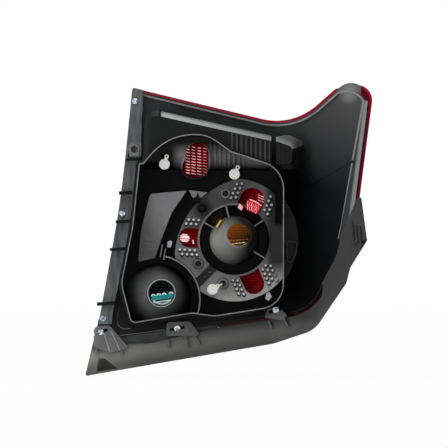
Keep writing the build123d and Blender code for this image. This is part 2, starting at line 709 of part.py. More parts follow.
def dish_y(x, z):
    fall = (reach_of(x, z, RING_X, RING_Z) - RING_INNER) / (RING_OUTER - RING_INNER)
    return DISH_INNER_Y + (DISH_OUTER_Y - DISH_INNER_Y) * fall


def petal(turn, width, end):
    """Window of the ring, round at its outer end."""
    centre = end - width / 2
    stem = bar(*ring_spot(turn, centre - width / 2), width, width, turn)
    body = merge(disc(*ring_spot(turn, centre), width / 2), stem)
    return less(body, disc(RING_X, RING_Z, RING_INNER + PETAL_SILL))


# Ring reflector: dished plate with walls to the bezel, three windows, bumps and bosses
cut_disc = disc(*ring_spot(BACK_CUT_TURN, -BACK_CUT_SHIFT), RING_BACK_CUT + BACK_CUT_SHIFT)
side_cut = block(RING_SIDE, FAR, RING_SIDE_FOOT, FAR)
RING_PLATE = less(common(disc(RING_X, RING_Z, RING_OUTER), cut_disc), side_cut)
chamber_room = disc(REVERSE_BASE_X, REVERSE_BASE_Z, CHAMBER_WALL + RING_WALL + SCREW_PLAY)
RING_SHAPE = less(RING_PLATE, chamber_room)
windows = [petal(turn, width, end) for turn, width, end, lanes in PETALS]
keep_off = [shrink(window, -BUMP_RADIUS - BITE) for window in windows]
keep_off += [disc(x, z, radius + BUMP_RADIUS + BITE) for x, z, radius in RING_BOSSES]
keep_off.append(disc(*RING_POST, CLIP_RADIUS + BUMP_RADIUS))
keep_off.append(disc(RING_X, RING_Z, RING_INNER + BUMP_RADIUS + BITE))
bump_area = less(shrink(RING_SHAPE, BUMP_RADIUS + BITE), *keep_off)
bump_spots = []
for turn, width, end, lanes in PETALS:
    for side, lane_count in zip((-1, 1), lanes):
        for lane in range(lane_count):
            for row in range(BUMP_ROWS):
                out = BUMP_START + BUMP_PITCH * (row - lane % 2 / 2)
                x, z = ring_spot(turn, out, side * (width / 2 + BUMP_EDGE + BUMP_LANE * lane))
                if any(face.is_inside((x, 0, z)) for face in bump_area.faces()):
                    bump_spots.append((x, dish_y(x, z), z))

inner_wall = frame_of(disc(RING_X, RING_Z, RING_INNER + RING_WALL), RING_WALL)
inner_ledge = frame_of(disc(RING_X, RING_Z, RING_INNER + BITE), LEDGE_WIDTH)
turn_plate_y = TURN_FRONT + PRISM_HEIGHT + SCREW_PLAY

with BuildPart() as ring_reflector:
    edge_x = RING_X + RING_OUTER + RING_WALL
    edge_y = dish_y(edge_x, RING_Z)
    with BuildSketch(Plane.XY.offset(RING_Z)):
        with BuildLine():
            Polyline(
                (RING_X + RING_INNER, DISH_INNER_Y),
                (edge_x, edge_y),
                (edge_x, edge_y + DISH_THICK),
                (RING_X + RING_INNER, DISH_INNER_Y + DISH_THICK),
                close=True,
            )
        make_face()
    revolve(axis=Axis((RING_X, 0, RING_Z), (0, 1, 0)))
    with Locations(*bump_spots):
        Sphere(BUMP_RADIUS)
    for x, z, radius in RING_BOSSES:
        boss_y = dish_y(x, z)
        add(column(frame_of(disc(x, z, radius), BOSS_WALL), boss_y - BOSS_HEIGHT, boss_y + BITE))
    add(column(disc(*RING_POST, POST_RADIUS), CLIP_SEAT, dish_y(*RING_POST) + BITE))
    add(column(RING_SHAPE, NEAR, MOUTH), mode=Mode.INTERSECT)
    add(column(frame_of(RING_SHAPE, RING_WALL), DISH_OUTER_Y + DISH_THICK, BEZEL_BACK - SCREW_PLAY))
    add(column(inner_wall, DISH_INNER_Y - BITE / 2, BEZEL_BACK - SCREW_PLAY))
    add(column(inner_ledge, turn_plate_y + LENS_PLATE + FIT, BEZEL_BACK - SCREW_PLAY))
    for window in windows:
        add(column(window, FRAME_BACK, DISH_INNER_Y + 4 * DISH_THICK), mode=Mode.SUBTRACT)

ring_reflector.part.label = "ring_reflector"
export_step(ring_reflector.part, "parts/ring_reflector.step")

# Turn reflector: skewed cone with a bulb collar, a base flange and four ribs to the ring
TURN_SECTIONS = (
    (0, 0, TURN_COLLAR, 0),
    (-1.2, -1.4, TURN_COLLAR + 5.5, 8),
    (-3.4, -4.0, TURN_BASE - 3, 20),
    (RING_X, RING_Z, TURN_BASE + FIT, TURN_FRONT),
)
leg_foot = ring_spot(LEG_FOOT_TURN, LEG_FOOT_OUT)
leg_room = bar(*leg_foot, LEG_THICK + 8 * GAP, LEG_WIDTH + 10 * GAP, LEG_FOOT_TURN)
turn_room = disc(RING_X, RING_Z, RING_INNER - FIT)
flange_band = less(turn_room, disc(RING_X, RING_Z, TURN_BASE - BITE), leg_room)
rib_spots = [(ring_spot(turn, RING_INNER - RIB_LENGTH / 2), turn) for turn in TURN_RIBS]
rib_bars = merge(*[bar(*spot, RIB_LENGTH + 2 * BITE, RIB_WIDTH, turn) for spot, turn in rib_spots])

with BuildPart() as turn_reflector:
    add(cone(TURN_SECTIONS))
    add(column(flange_band, TURN_FRONT - WALL, TURN_FRONT))
    add(column(common(rib_bars, turn_room), RIB_BACK, TURN_FRONT))
    add(cone(TURN_SECTIONS, SHELL), mode=Mode.SUBTRACT)
    add(column(frame_of(disc(0, 0, TURN_COLLAR), TURN_COLLAR - TURN_HOLE), 0, COLLAR_LENGTH))

turn_reflector.part.label = "turn_reflector"
export_step(turn_reflector.part, "parts/turn_reflector.step")

# Reversing reflector: dome with a bulb collar, cut to the tub's wall
REVERSE_SECTIONS = (
    (REVERSE_X, REVERSE_Z, REVERSE_COLLAR, 0),
    (REVERSE_X - 1.2, REVERSE_Z - 1.4, REVERSE_COLLAR + 10, 8),
    (REVERSE_X - 3.4, REVERSE_Z - 4.0, REVERSE_BASE - 8, 22),
    (REVERSE_BASE_X, REVERSE_BASE_Z, REVERSE_BASE, REVERSE_BASE_Y),
)
reverse_wall = frame_of(disc(REVERSE_BASE_X, REVERSE_BASE_Z, REVERSE_BASE), SHELL)
reverse_collar = frame_of(disc(REVERSE_X, REVERSE_Z, REVERSE_COLLAR), REVERSE_COLLAR - REVERSE_HOLE)

with BuildPart() as reverse_reflector:
    add(cone(REVERSE_SECTIONS))
    add(cone(REVERSE_SECTIONS, SHELL), mode=Mode.SUBTRACT)
    add(column(reverse_wall, REVERSE_BASE_Y - BITE, BEZEL_BACK - SCREW_PLAY))
    add(column(reverse_collar, REVERSE_BACK, REVERSE_BACK + COLLAR_LENGTH + BITE))
    add(column(RIM_ROOM, RIM_EDGE, MOUTH), mode=Mode.INTERSECT)

reverse_reflector.part.label = "reverse_reflector"
export_step(reverse_reflector.part, "parts/reverse_reflector.step")


def slot_shape(grow=0.0):
    """Long bulb window with its flare towards the body side."""
    with BuildSketch(Plane.XZ) as shape:
        with Locations((WINDOW_X, WINDOW_Z)):
            SlotOverall(WINDOW_HEIGHT + 2 * grow, WINDOW_WIDTH + 2 * grow, rotation=90)
        with Locations(WINDOW_FLARE[:2]):
            Circle(WINDOW_FLARE[2] + grow)
    return shape.sketch


def tail_shell(grow):
    """Shell that bulges to the car body, straight along X."""
    radius = TAIL_CURVE + grow
    foot_y = TAIL_BACK + TAIL_CURVE
    top_z = TAIL_FOOT_Z + TAIL_CURVE
    back_y = foot_y - radius
    high_z = top_z + 2 * TAIL_CURVE
    with BuildPart() as shell:
        with BuildSketch(Plane.YZ):
            with BuildLine():
                CenterArc((foot_y, top_z), radius, 180, 90)
                CenterArc((foot_y, top_z), radius - SHELL, 180, 90)
                Polyline((back_y, top_z), (back_y, high_z), (back_y + SHELL, high_z), (back_y + SHELL, top_z))
                Line((foot_y, top_z - radius), (foot_y, top_z - radius + SHELL))
            make_face()
        extrude(amount=FAR, both=True)
    return shell.part


# Tail reflector: curved shell behind the upper block, with flutes and the framed bulb window
tail_area = merge(outline(TUB_CORNERS, TUB_ROUNDS, -WALL - GAP), RIM_ROOM)
tail_room = common(tail_area, block(NEAR, TUB_SIDE - WALL - GAP, TAIL_FOOT_Z, FAR + TAIL_CURVE))
tail_flutes = merge(*[flute(TAIL_FLUTE_START + FLUTE_PITCH * step) for step in range(TAIL_FLUTE_COUNT)])

with BuildPart() as tail_reflector:
    add(tail_shell(FLUTE_HEIGHT))
    add(column(common(tail_flutes, tail_room), NEAR, MOUTH), mode=Mode.INTERSECT)
    add(tail_shell(0.0))
    add(column(disc(*TAIL_POST, POST_RADIUS), CLIP_SEAT, CARRIER_BACK))
    add(column(tail_room, NEAR, MOUTH), mode=Mode.INTERSECT)
    add(column(slot_shape(WINDOW_FRAME), FRAME_BACK, TAIL_BACK + TAIL_CURVE + BITE))
    add(column(slot_shape(), NEAR, MOUTH), mode=Mode.SUBTRACT)

tail_reflector.part.label = "tail_reflector"
export_step(tail_reflector.part, "parts/tail_reflector.step")

# Carrier plate with the bare label panel and the chamber wall of the reversing light
label_shape = outline(LABEL_CORNERS, LABEL_ROUNDS)
panel_shape = less(outline(PANEL_CORNERS), shrink(RING_PLATE, -2 * GAP))
panels = merge(label_shape, panel_shape)
carrier_room = common(shrink(STEP_INNER, GAP), block(NEAR, FAR, NEAR, TAIL_FOOT_Z - BITE))
chamber_disc = disc(REVERSE_BASE_X, REVERSE_BASE_Z, CHAMBER_WALL + RING_WALL - SCREW_PLAY)
ring_room = less(shrink(RING_PLATE, -GAP), chamber_disc)
dome_room = disc(*DOME_ROOM, REVERSE_BASE - WALL)
window_room = slot_shape(WINDOW_FRAME + GAP)
base_shape = less(carrier_room, ring_room, dome_room, window_room, block(*CORNER_CUT))
chamber_band = frame_of(chamber_disc, RING_WALL - SCREW_PLAY)
chamber_shape = common(common(chamber_band, block(*CHAMBER_SPAN)), RIM_ROOM)

with BuildPart() as reflector_carrier:
    add(column(base_shape, CARRIER_BACK, CARRIER_BACK + WALL))
    add(column(panels, LABEL_BACK, CARRIER_BACK + BITE))
    add(column(shrink(panels, SHELL), LABEL_BACK + SHELL, MOUTH), mode=Mode.SUBTRACT)
    add(column(bar(*LABEL_SQUARE), LABEL_BACK - BITE, LABEL_BACK + SQUARE_DEPTH), mode=Mode.SUBTRACT)
    add(column(chamber_shape, CHAMBER_BACK, CARRIER_BACK + BITE))
    add(column(merge(*[bar(*fin) for fin in CARRIER_FINS]), FIN_BACK, CARRIER_BACK + BITE))
    add(column(disc(*CARRIER_POST, POST_RADIUS), CLIP_SEAT, CARRIER_BACK + BITE))

reflector_carrier.part.label = "reflector_carrier"
export_step(reflector_carrier.part, "parts/reflector_carrier.step")

# Front bezel at the mouth of the tub
bezel_areas = (shrink(TUB_BOUNDS, WALL + TOUCH), shrink(STEP_INNER, TOUCH), shrink(DRUM_SHAPE, WALL + TOUCH))
bezel_area = merge(*bezel_areas)
tail_gap = common(shrink(tail_room, SKIRT_WALL), block(NEAR, FAR, TAIL_FOOT_Z + COLLAR_LENGTH, 2 * FAR))
reverse_opening = disc(REVERSE_BASE_X, REVERSE_BASE_Z, REVERSE_BASE - SKIRT_WALL)
reverse_gap = common(reverse_opening, shrink(RIM_INNER, COLLAR_LENGTH))
ring_gap = shrink(RING_SHAPE, SKIRT_WALL)

with BuildPart() as front_bezel:
    add(column(less(bezel_area, tail_gap, reverse_gap, ring_gap), BEZEL_BACK, BEZEL_BACK + SHELL))

front_bezel.part.label = "front_bezel"
export_step(front_bezel.part, "parts/front_bezel.step")

# Inner lenses
with BuildPart() as tail_inner_lens:
    add(ribbed_plate(slot_shape(WINDOW_FRAME), TAIL_LENS_BACK))

tail_inner_lens.part.label = "tail_inner_lens"
export_step(tail_inner_lens.part, "parts/tail_inner_lens.step")

stop_shape = less(shrink(RING_SHAPE, RING_WALL + FIT), disc(RING_X, RING_Z, RING_INNER + RING_WALL + FIT))

with BuildPart() as stop_inner_lens:
    add(ribbed_plate(stop_shape, STOP_LENS_BACK))

stop_inner_lens.part.label = "stop_inner_lens"
export_step(stop_inner_lens.part, "parts/stop_inner_lens.step")

leg_shape = bar(*leg_foot, LEG_THICK, LEG_WIDTH, LEG_FOOT_TURN)
leg_end = bar(LEG_END[0], LEG_END[1], LEG_THICK, LEG_WIDTH, LEG_END[2])

with BuildPart() as turn_inner_lens:
    add(ribbed_plate(turn_room, turn_plate_y))
    add(lofted([(leg_end, LEG_BACK), (leg_shape, turn_plate_y + BITE)]))

turn_inner_lens.part.label = "turn_inner_lens"
export_step(turn_inner_lens.part, "parts/turn_inner_lens.step")

reverse_disc = common(disc(REVERSE_BASE_X, REVERSE_BASE_Z, REVERSE_BASE - SHELL - FIT), RIM_ROOM)

with BuildPart() as reverse_inner_lens:
    add(ribbed_plate(reverse_disc, REVERSE_LENS_BACK))

reverse_inner_lens.part.label = "reverse_inner_lens"
export_step(reverse_inner_lens.part, "parts/reverse_inner_lens.step")

# White push-on clips on the three posts, each with a lug
with BuildPart() as reflector_clips:
    for (x, z), (reach_x, reach_z) in zip((TAIL_POST, CARRIER_POST, RING_POST), CLIP_REACH):
        lean = degrees(atan2(reach_z, reach_x))
        neck = bar(x + reach_x / 2, z + reach_z / 2, 10, CLIP_LUG + BITE, lean)
        head = merge(disc(x, z, CLIP_RADIUS), disc(x + reach_x, z + reach_z, CLIP_LUG), neck)
        head = less(head, disc(x + reach_x, z + reach_z, LUG_HOLE))
        add(column(head, CLIP_SEAT - CLIP_HEIGHT, CLIP_SEAT - TOUCH / 2))
        sleeve = less(disc(x, z, CLIP_SLEEVE), disc(x, z, POST_RADIUS + TOUCH))
        add(column(sleeve, CLIP_SEAT - BITE, CLIP_SEAT + CLIP_HEIGHT + BITE))

reflector_clips.part.label = "reflector_clips"
export_step(reflector_clips.part, "parts/reflector_clips.step")


def screw(x, z, seat):
    """Pan-head screw with a cross recess; the head stands on the seat, towards the car body."""
    with BuildPart() as piece:
        add(column(disc(x, z, SCREW_HEAD), seat - HEAD_HEIGHT, seat))
        add(column(disc(x, z, SCREW_HEAD - DOME_IN), seat - DOME_HEIGHT, seat - BITE))
        add(column(disc(x, z, SCREW_SHANK), seat - BITE, seat + SCREW_LENGTH))
        cross = merge(bar(x, z, CROSS_LENGTH, CROSS_WIDTH), bar(x, z, CROSS_WIDTH, CROSS_LENGTH))
        add(column(cross, NEAR, seat - BITE), mode=Mode.SUBTRACT)
    return piece.part


with BuildPart() as flange_screws:
    for x, z in FLANGE_SCREWS:
        add(screw(x, z, wrap_y(x, z, STRIP_BACK) + SEAT))

flange_screws.part.label = "flange_screws"
export_step(flange_screws.part, "parts/flange_screws.step")

with BuildPart() as trim_screws:
    for x, z in TRIM_SCREWS:
        add(screw(x, z, wrap_y(x, z, TAB_BACK) + SEAT))

trim_screws.part.label = "trim_screws"
export_step(trim_screws.part, "parts/trim_screws.step")
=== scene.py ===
"""Looks of the tail light cluster: finishes, lens optics, camera, floor and studio light."""

import math

import bmesh
import bpy
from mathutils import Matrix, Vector
from mathutils.bvhtree import BVHTree


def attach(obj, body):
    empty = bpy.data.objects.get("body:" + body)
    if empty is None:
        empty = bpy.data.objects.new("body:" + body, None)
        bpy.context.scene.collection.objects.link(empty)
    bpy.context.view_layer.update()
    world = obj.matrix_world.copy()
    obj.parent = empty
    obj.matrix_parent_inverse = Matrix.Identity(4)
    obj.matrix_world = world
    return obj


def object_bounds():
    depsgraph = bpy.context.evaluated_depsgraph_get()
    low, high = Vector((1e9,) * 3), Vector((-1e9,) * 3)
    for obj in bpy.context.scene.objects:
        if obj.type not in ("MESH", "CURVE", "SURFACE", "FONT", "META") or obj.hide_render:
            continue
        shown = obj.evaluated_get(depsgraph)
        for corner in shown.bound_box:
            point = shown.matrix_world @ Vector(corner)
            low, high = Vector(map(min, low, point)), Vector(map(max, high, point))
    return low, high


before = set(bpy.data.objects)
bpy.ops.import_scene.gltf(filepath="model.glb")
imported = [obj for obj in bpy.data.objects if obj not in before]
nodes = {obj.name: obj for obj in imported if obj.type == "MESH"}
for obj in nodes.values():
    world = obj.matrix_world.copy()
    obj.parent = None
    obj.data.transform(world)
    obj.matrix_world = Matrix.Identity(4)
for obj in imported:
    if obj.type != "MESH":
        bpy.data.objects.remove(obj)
cad_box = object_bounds()

MM = 0.001

# Camera: straight at the car-body side through a long lens
VIEW_X = -18.1 * MM
VIEW_Z = 13.75 * MM
VIEW_WIDTH = 560 * MM
VIEW_DEPTH = 10 * MM
CAMERA_AWAY = 8.0
SENSOR = 36.0
CLIP_END = 100.0

# Studio: fill light of the world, and the floor's size, place, colour and share of white
FILL = 0.3
FLOOR_HALF = 6.0
FLOOR_BELOW = 0.5 * MM
FLOOR_COLOUR = (0.85, 0.85, 0.85, 1.0)
FLOOR_WHITE = 0.97
WHITE = (1.0, 1.0, 1.0, 1.0)

# From here on places are in millimetres of the frame, and points are (x, z) where nothing else is said

# Wrap of the lens front in plan, as in the part: (x, y, radius) of the arcs, and the crown's axis
REAR_ARC = (-42.0, -1008.0, 1100.0)
CORNER_ARC = (27.76, -10.44, 100.0)
SIDE_ARC = (-585.1, -524.7, 900.0)
REAR_TURN = -4.0
SIDE_TURN = -50.0
CROWN_AXIS_Y = -808.0

# Depths behind the lens front, on the housing, the trim and the lens skirt
FLOOR_DEPTH = (22.6, 24.0)
BEAD_DEPTH = (25.3, 26.1)
STRIP_DEPTH = (35.2, 36.6)
WING_DEPTH = 25.0
TAB_DEPTH = 30.8
FIN_DEPTH = 34.2
SKIRT_DEPTH = 3.2
FOOT_DEPTH = 19.5
CORNER_DEPTH = 15.0

# Places on the housing and the trim
RIM_SIDE_X = 58.0
LOW_FLOOR_Z = -60.0
HIGH_FLOOR_Z = 100.0
FLANGE_X = -100.0
BLOCK_X = (40.0, 90.0)
BLOCK_Y = 25.0
BLOCK_Z = (75.0, 130.0)
LEDGE_X = -97.0
LEDGE_Y = (1.5, 22.0)
FLUTE_X = 41.0
FLUTE_Y = (-0.4, 0.2)
FLUTE_Z = 60.0
LATCH_X = (58.0, 76.0)
LATCH_Y = (10.5, 11.5)
BAND_X = 120.0
RIM_LIP_Y = -9.15
RECESS = (-130.5, 107.5)
RECESS_BOSS = 9.5
TAB_X = 100.0

# Places on the carrier, the cone, the collar and the lenses
LABEL_Y = (13.4, 14.9)
LABEL_FRAME_Y = (12.5, 13.4)
CHAMBER_LIP_Y = 3.6
CONE_END_Y = 40.0
RIB_OUT = 31.5
RIB_Y = 45.0
COLLAR_Y = -0.6
LEG_Y = 47.0
LEG_TIP_Y = 12.0
LENS_FOOT = (-160.0, -60.0)
LENS_CORNER = (88.0, -30.0)
SEAL_SHOWN = (120.0, 30.0)

# Ring, chamber, clips, turn hole and reversing hole, as in the part
RING = (-5.0, -6.25)
RING_INNER = 43.8
RING_OUTER = 77.0
RING_SIDE = 46.0
DISH_INNER_Y = 31.0
DISH_OUTER_Y = 24.0
UPPER_BOSS = (-16.3, 52.0)
LOWER_BOSS = (-19.5, -61.0)
SIDE_BOSS = (-50.5, -36.0)
HOLLOW_BOSSES = (UPPER_BOSS, LOWER_BOSS, SIDE_BOSS)
LOWER_CLIP = (-32.5, -68.0)
CLIPS = ((-92.5, 88.5), (-5.0, 76.0), LOWER_CLIP)
BOSS_KEEP = 7.5
BOSS_HOLLOW = 4.2
BOSS_RIM = 5.6
CUT_DISC = (24.1, -30.7)
CUT_DISC_RADIUS = 104.0
CHAMBER = (-103.0, -80.5)
CHAMBER_RADIUS = 56.2
TURN = (0.0, 0.0)
REVERSE = (-96.25, -72.5)

# Margins that keep the bumps' finish off the ring's walls and edge, and the ring's lip and back
WALL_MARGIN = 2.5
EDGE_MARGIN = 2.2
BUMP_PROUD = 0.2
RING_LIP = 2.3
RING_LIP_Z = -16.0
DISH_BACK_Y = 32.0

# Painted lit and shaded spots
EAR_GLINT = (137.0, 177.0)
DOME_LIGHT = (-107.0, -78.0)
CONE_LIGHT = (-30.0, -9.0)
RING_SHADE = (-44.0, 33.0)
RING_POCKET_SHADE = ((-53.0, -62.0), (-31.0, -40.0))
BUMP_LIGHT_Y = -0.85
BUMP_LIGHT_Z = 0.53

# Lens edges beside the trim: rise and height of the lower one, normal and distance of the outboard one
TRIM_RISE = 0.1376
TRIM_HEIGHT = -112.7
TRIM_SIDE_X = 0.881
TRIM_SIDE_Z = -0.472
TRIM_SIDE_AWAY = -128.2

# Limits of a normal's Y part, from faces square to the view to bevelled ones, and the ledge's tilt
LIP_SQUARE = -0.97
SQUARE = -0.9
BOSS_SQUARE = -0.8
SIDEWAYS = -0.7
TOWARDS = -0.5
SLOPING = -0.4
BEVELLED = -0.2
BAND_BEVELLED = -0.1
LEDGE_TILT = 0.25

# Grain in cycles per metre, its height in metres, and the radius of moulded edges
GRAIN = 2400
FINE_GRAIN = 2600
BEZEL_GRAIN = 2200
TRIM_GRAIN = 1500
SEAL_GRAIN = 900
SMOOTH = 0.00001
SATIN = 0.00002
GRAINED = 0.00003
TAB_RELIEF = 0.00004
TRIM_RELIEF = 0.00006
SEAL_RELIEF = 0.0001
EDGE_RADIUS = 0.7 * MM

# Noise of gloss and colour in cycles per metre
GLOSS_NOISE = 35
MOTTLE_NOISE = 60
SPECK_NOISE = 70
LENS_NOISE = 25
LENS_GLOSS_NOISE = 90
PRISM_NOISE = 200
METAL_NOISE = 300
METAL_GLOSS_NOISE = 700
TRIM_NOISE = 900

# How far gloss and colour vary
GLOSS_RANGE = 0.05
METAL_GLOSS_RANGE = 0.06
LENS_GLOSS_RANGE = 0.04
LENS_DEEP = 0.85
SPECK = 0.1

# Colour sockets of a Mix node
MIX_INPUTS = (6, 7)
MIX_OUTPUT = 2

# Acrylic, and the strength of the painted glow that stands in for the light that the prisms of the inner
# lenses, the amber lens and the lens skirt pass on from the lens side
LENS_IOR = 1.49
LENS_GLOW = 0.7
AMBER_GLOW = 0.2
SKIRT_GLOW = 0.35

# Levels in Y of the small pieces: back and front, or crest and root
LEFT_LUG_Y = (26.0, 33.0)
LOWER_LUG_Y = (22.0, 33.0)
TAB_CORNER_Y = (41.2, 44.2)
HOOK_Y = (12.0, 30.0)
STUD_Y = (22.0, 29.2)
CLIP_NECK_Y = (5.0, 7.5)

# Levels in Y of the lens prisms
TAIL_Y = (41.2, 43.2)
STOP_LINE_Y = (43.6, 46.0)
STOP_ROW_Y = (43.4, 46.0)
STOP_BLOCK_Y = (28.0, 32.0)
STOP_FACET_Y = (28.4, 32.0)
STREAK_Y = (27.2, 28.4)
BLOCK_EDGE_Y = (27.0, 28.4)
TURN_DIM_Y = (46.4, 49.2)
TURN_BRIGHT_Y = (46.0, 49.2)
TURN_EDGE_Y = (0.6, 2.6)
REVERSE_Y = (47.0, 49.2)
SCALLOP_Y = (46.4, 49.3)


def within(value, band):
    return band[0] < value < band[1]


def away_from(spot, point):
    """Distance from an (x, z) point, seen along Y."""
    return math.hypot(spot.x - point[0], spot.z - point[1])


def depth_of(spot):
    """Depth behind the lens front."""
    plan_y = CROWN_AXIS_Y + math.hypot(spot.y - CROWN_AXIS_Y, spot.z)
    turn = math.degrees(math.atan2(CORNER_ARC[0] - spot.x, plan_y - CORNER_ARC[1]))
    arc = REAR_ARC if turn > REAR_TURN else SIDE_ARC if turn < SIDE_TURN else CORNER_ARC
    return arc[2] - math.hypot(spot.x - arc[0], plan_y - arc[1])


def on_floor(spot, normal):
    return within(depth_of(spot), FLOOR_DEPTH) and normal.y < SLOPING


def on_bead(spot):
    return within(depth_of(spot), BEAD_DEPTH)


def on_flange(spot, normal):
    return within(depth_of(spot), STRIP_DEPTH) and normal.y < SLOPING and spot.x < FLANGE_X


def on_block(spot):
    """On the block at the outboard end of the tub's ledge."""
    return within(spot.x, BLOCK_X) and within(spot.z, BLOCK_Z) and spot.y < BLOCK_Y


def on_ledge(spot, normal):
    """On the tub's ledge, which slopes up and towards the car body."""
    tilted = normal.y < -LEDGE_TILT and normal.z > LEDGE_TILT
    return tilted and within(spot.y, LEDGE_Y) and spot.x > LEDGE_X


def on_flute(spot, normal):
    return within(spot.y, FLUTE_Y) and spot.z > FLUTE_Z and spot.x < FLUTE_X and normal.y < SQUARE


def on_latch(spot):
    return within(spot.y, LATCH_Y) and within(spot.x, LATCH_X) and spot.z < 0


def on_bump(spot):
    """On a bump of the ring: proud of the dish and away from its bosses and walls."""
    out = away_from(spot, RING)
    if not RING_INNER + WALL_MARGIN < out < RING_OUTER - EDGE_MARGIN or spot.x > RING_SIDE - WALL_MARGIN:
        return False
    if away_from(spot, CUT_DISC) > CUT_DISC_RADIUS - WALL_MARGIN:
        return False
    if away_from(spot, CHAMBER) < CHAMBER_RADIUS + WALL_MARGIN:
        return False
    if any(away_from(spot, boss) < BOSS_KEEP for boss in (*HOLLOW_BOSSES, LOWER_CLIP)):
        return False
    fall = (out - RING_INNER) / (RING_OUTER - RING_INNER)
    return spot.y < DISH_INNER_Y + (DISH_OUTER_Y - DISH_INNER_Y) * fall - BUMP_PROUD


def in_boss(spot):
    return any(away_from(spot, boss) < BOSS_HOLLOW for boss in HOLLOW_BOSSES)


def on_boss(spot):
    return any(BOSS_HOLLOW < away_from(spot, boss) < BOSS_RIM for boss in HOLLOW_BOSSES)


def on_ring_lip(spot, normal):
    """On the upper left part of the ring's inner lip, which catches the light."""
    near = away_from(spot, RING) < RING_INNER + RING_LIP
    return near and normal.y < TOWARDS and spot.x < 0 and spot.z > RING_LIP_Z


def on_lens_foot(spot):
    """On the skirt's back edge above the trim."""
    return spot.x > LENS_FOOT[0] and spot.z < LENS_FOOT[1] and depth_of(spot) > FOOT_DEPTH


def on_lens_corner(spot):
    """On the skirt in the shade of the outboard corner."""
    return spot.x > LENS_CORNER[0] and spot.z < LENS_CORNER[1] and depth_of(spot) > CORNER_DEPTH


class Finish:
    """A material with a principled shader and object-space textures."""

    def __init__(self, name):
        self.material = bpy.data.materials.new(name)
        self.material.use_nodes = True
        self.tree = self.material.node_tree
        self.shader = self.tree.nodes["Principled BSDF"]
        self.place = self.node("ShaderNodeTexCoord").outputs["Object"]

    def node(self, kind, **settings):
        made = self.tree.nodes.new(kind)
        for key, value in settings.items():
            setattr(made, key, value)
        return made

    def link(self, source, target):
        self.tree.links.new(source, target)

    def set(self, **values):
        """Values of the shader's sockets, with _ for the spaces in their names."""
        for key, value in values.items():
            self.shader.inputs[key.replace("_", " ")].default_value = value

    def noise(self, scale, detail=3.0, stretch=(1, 1, 1)):
        """Noise with its features given in cycles per metre."""
        mapping = self.node("ShaderNodeMapping")
        mapping.inputs["Scale"].default_value = stretch
        self.link(self.place, mapping.inputs["Vector"])
        texture = self.node("ShaderNodeTexNoise")
        texture.inputs["Scale"].default_value = scale
        texture.inputs["Detail"].default_value = detail
        self.link(mapping.outputs["Vector"], texture.inputs["Vector"])
        return texture.outputs["Fac"]

    def math(self, operation, *values):
        step = self.node("ShaderNodeMath", operation=operation)
        for socket, value in zip(step.inputs, values):
            if isinstance(value, (int, float)):
                socket.default_value = value
            else:
                self.link(value, socket)
        return step.outputs["Value"]

    def spread(self, value, low, high, start=0.3, end=0.7):
        """Value between start and end, mapped to low and high."""
        step = self.node("ShaderNodeMapRange")
        for key, number in (("From Min", start), ("From Max", end), ("To Min", low), ("To Max", high)):
            step.inputs[key].default_value = number
        self.link(value, step.inputs["Value"])
        return step.outputs["Result"]

    def mix(self, share, first, second):
        """Colour between two colours or colour sockets."""
        step = self.node("ShaderNodeMix", data_type="RGBA")
        self.link(share, step.inputs["Factor"])
        for index, value in zip(MIX_INPUTS, (first, second)):
            if isinstance(value, tuple):
                step.inputs[index].default_value = (*value, 1.0)
            else:
                self.link(value, step.inputs[index])
        return step.outputs[MIX_OUTPUT]

    def axis(self, name):
        """Frame coordinate in metres."""
        split = self.node("ShaderNodeSeparateXYZ")
        self.link(self.place, split.inputs["Vector"])
        return split.outputs[name]

    def slope(self, start, end):
        """Share that runs from 0 at a start point to 1 at an end point, both (x, z)."""
        run_x, run_z = end[0] - start[0], end[1] - start[1]
        square = (run_x**2 + run_z**2) * MM
        across = self.math("MULTIPLY", self.axis("X"), run_x / square)
        shift = -(start[0] * run_x + start[1] * run_z) * MM / square
        total = self.math("ADD", self.math("MULTIPLY_ADD", self.axis("Z"), run_z / square, shift), across)
        return self.spread(total, 0, 1, 0, 1)

    def line(self, start, end):
        """Signed distance in metres to the left of a line between two (x, z) points."""
        run_x, run_z = end[0] - start[0], end[1] - start[1]
        run = math.hypot(run_x, run_z)
        shift = (run_z * start[0] - run_x * start[1]) / run * MM
        across = self.math("MULTIPLY_ADD", self.axis("X"), -run_z / run, shift)
        return self.math("ADD", across, self.math("MULTIPLY", self.axis("Z"), run_x / run))

    def reach(self, x, z):
        """Distance in metres from an (x, z) point, seen along Y."""
        east = self.math("POWER", self.math("SUBTRACT", self.axis("X"), x * MM), 2.0)
        north = self.math("POWER", self.math("SUBTRACT", self.axis("Z"), z * MM), 2.0)
        return self.math("SQRT", self.math("ADD", east, north))

    def near(self, point, full, none, most=1):
        """Share that falls from its most within one radius of a point to 0 at another."""
        return self.spread(self.reach(*point), most, 0, full * MM, none * MM)

    def colour(self, socket):
        self.link(socket, self.shader.inputs["Base Color"])

    def rough(self, socket):
        self.link(socket, self.shader.inputs["Roughness"])

    def glow(self, socket, strength):
        self.set(Emission_Strength=strength)
        self.link(socket, self.shader.inputs["Emission Color"])

    def relief(self, height, depth, edge):
        """Fine grain, and edges that catch the light as if rounded by a radius."""
        round_edge = self.node("ShaderNodeBevel", samples=4)
        round_edge.inputs["Radius"].default_value = edge
        step = self.node("ShaderNodeBump")
        step.inputs["Distance"].default_value = depth
        self.link(height, step.inputs["Height"])
        self.link(round_edge.outputs["Normal"], step.inputs["Normal"])
        self.link(step.outputs["Normal"], self.shader.inputs["Normal"])


def moulded(name, rough, grain=FINE_GRAIN, depth=SATIN, specular=0.3):
    """Moulded plastic without its colour: uneven gloss, fine grain and rounded edges."""
    finish = Finish(name)
    finish.set(Specular_IOR_Level=specular)
    finish.rough(finish.spread(finish.noise(GLOSS_NOISE), rough - GLOSS_RANGE, rough + GLOSS_RANGE))
    finish.relief(finish.noise(grain, 2.0), depth, EDGE_RADIUS)
    return finish


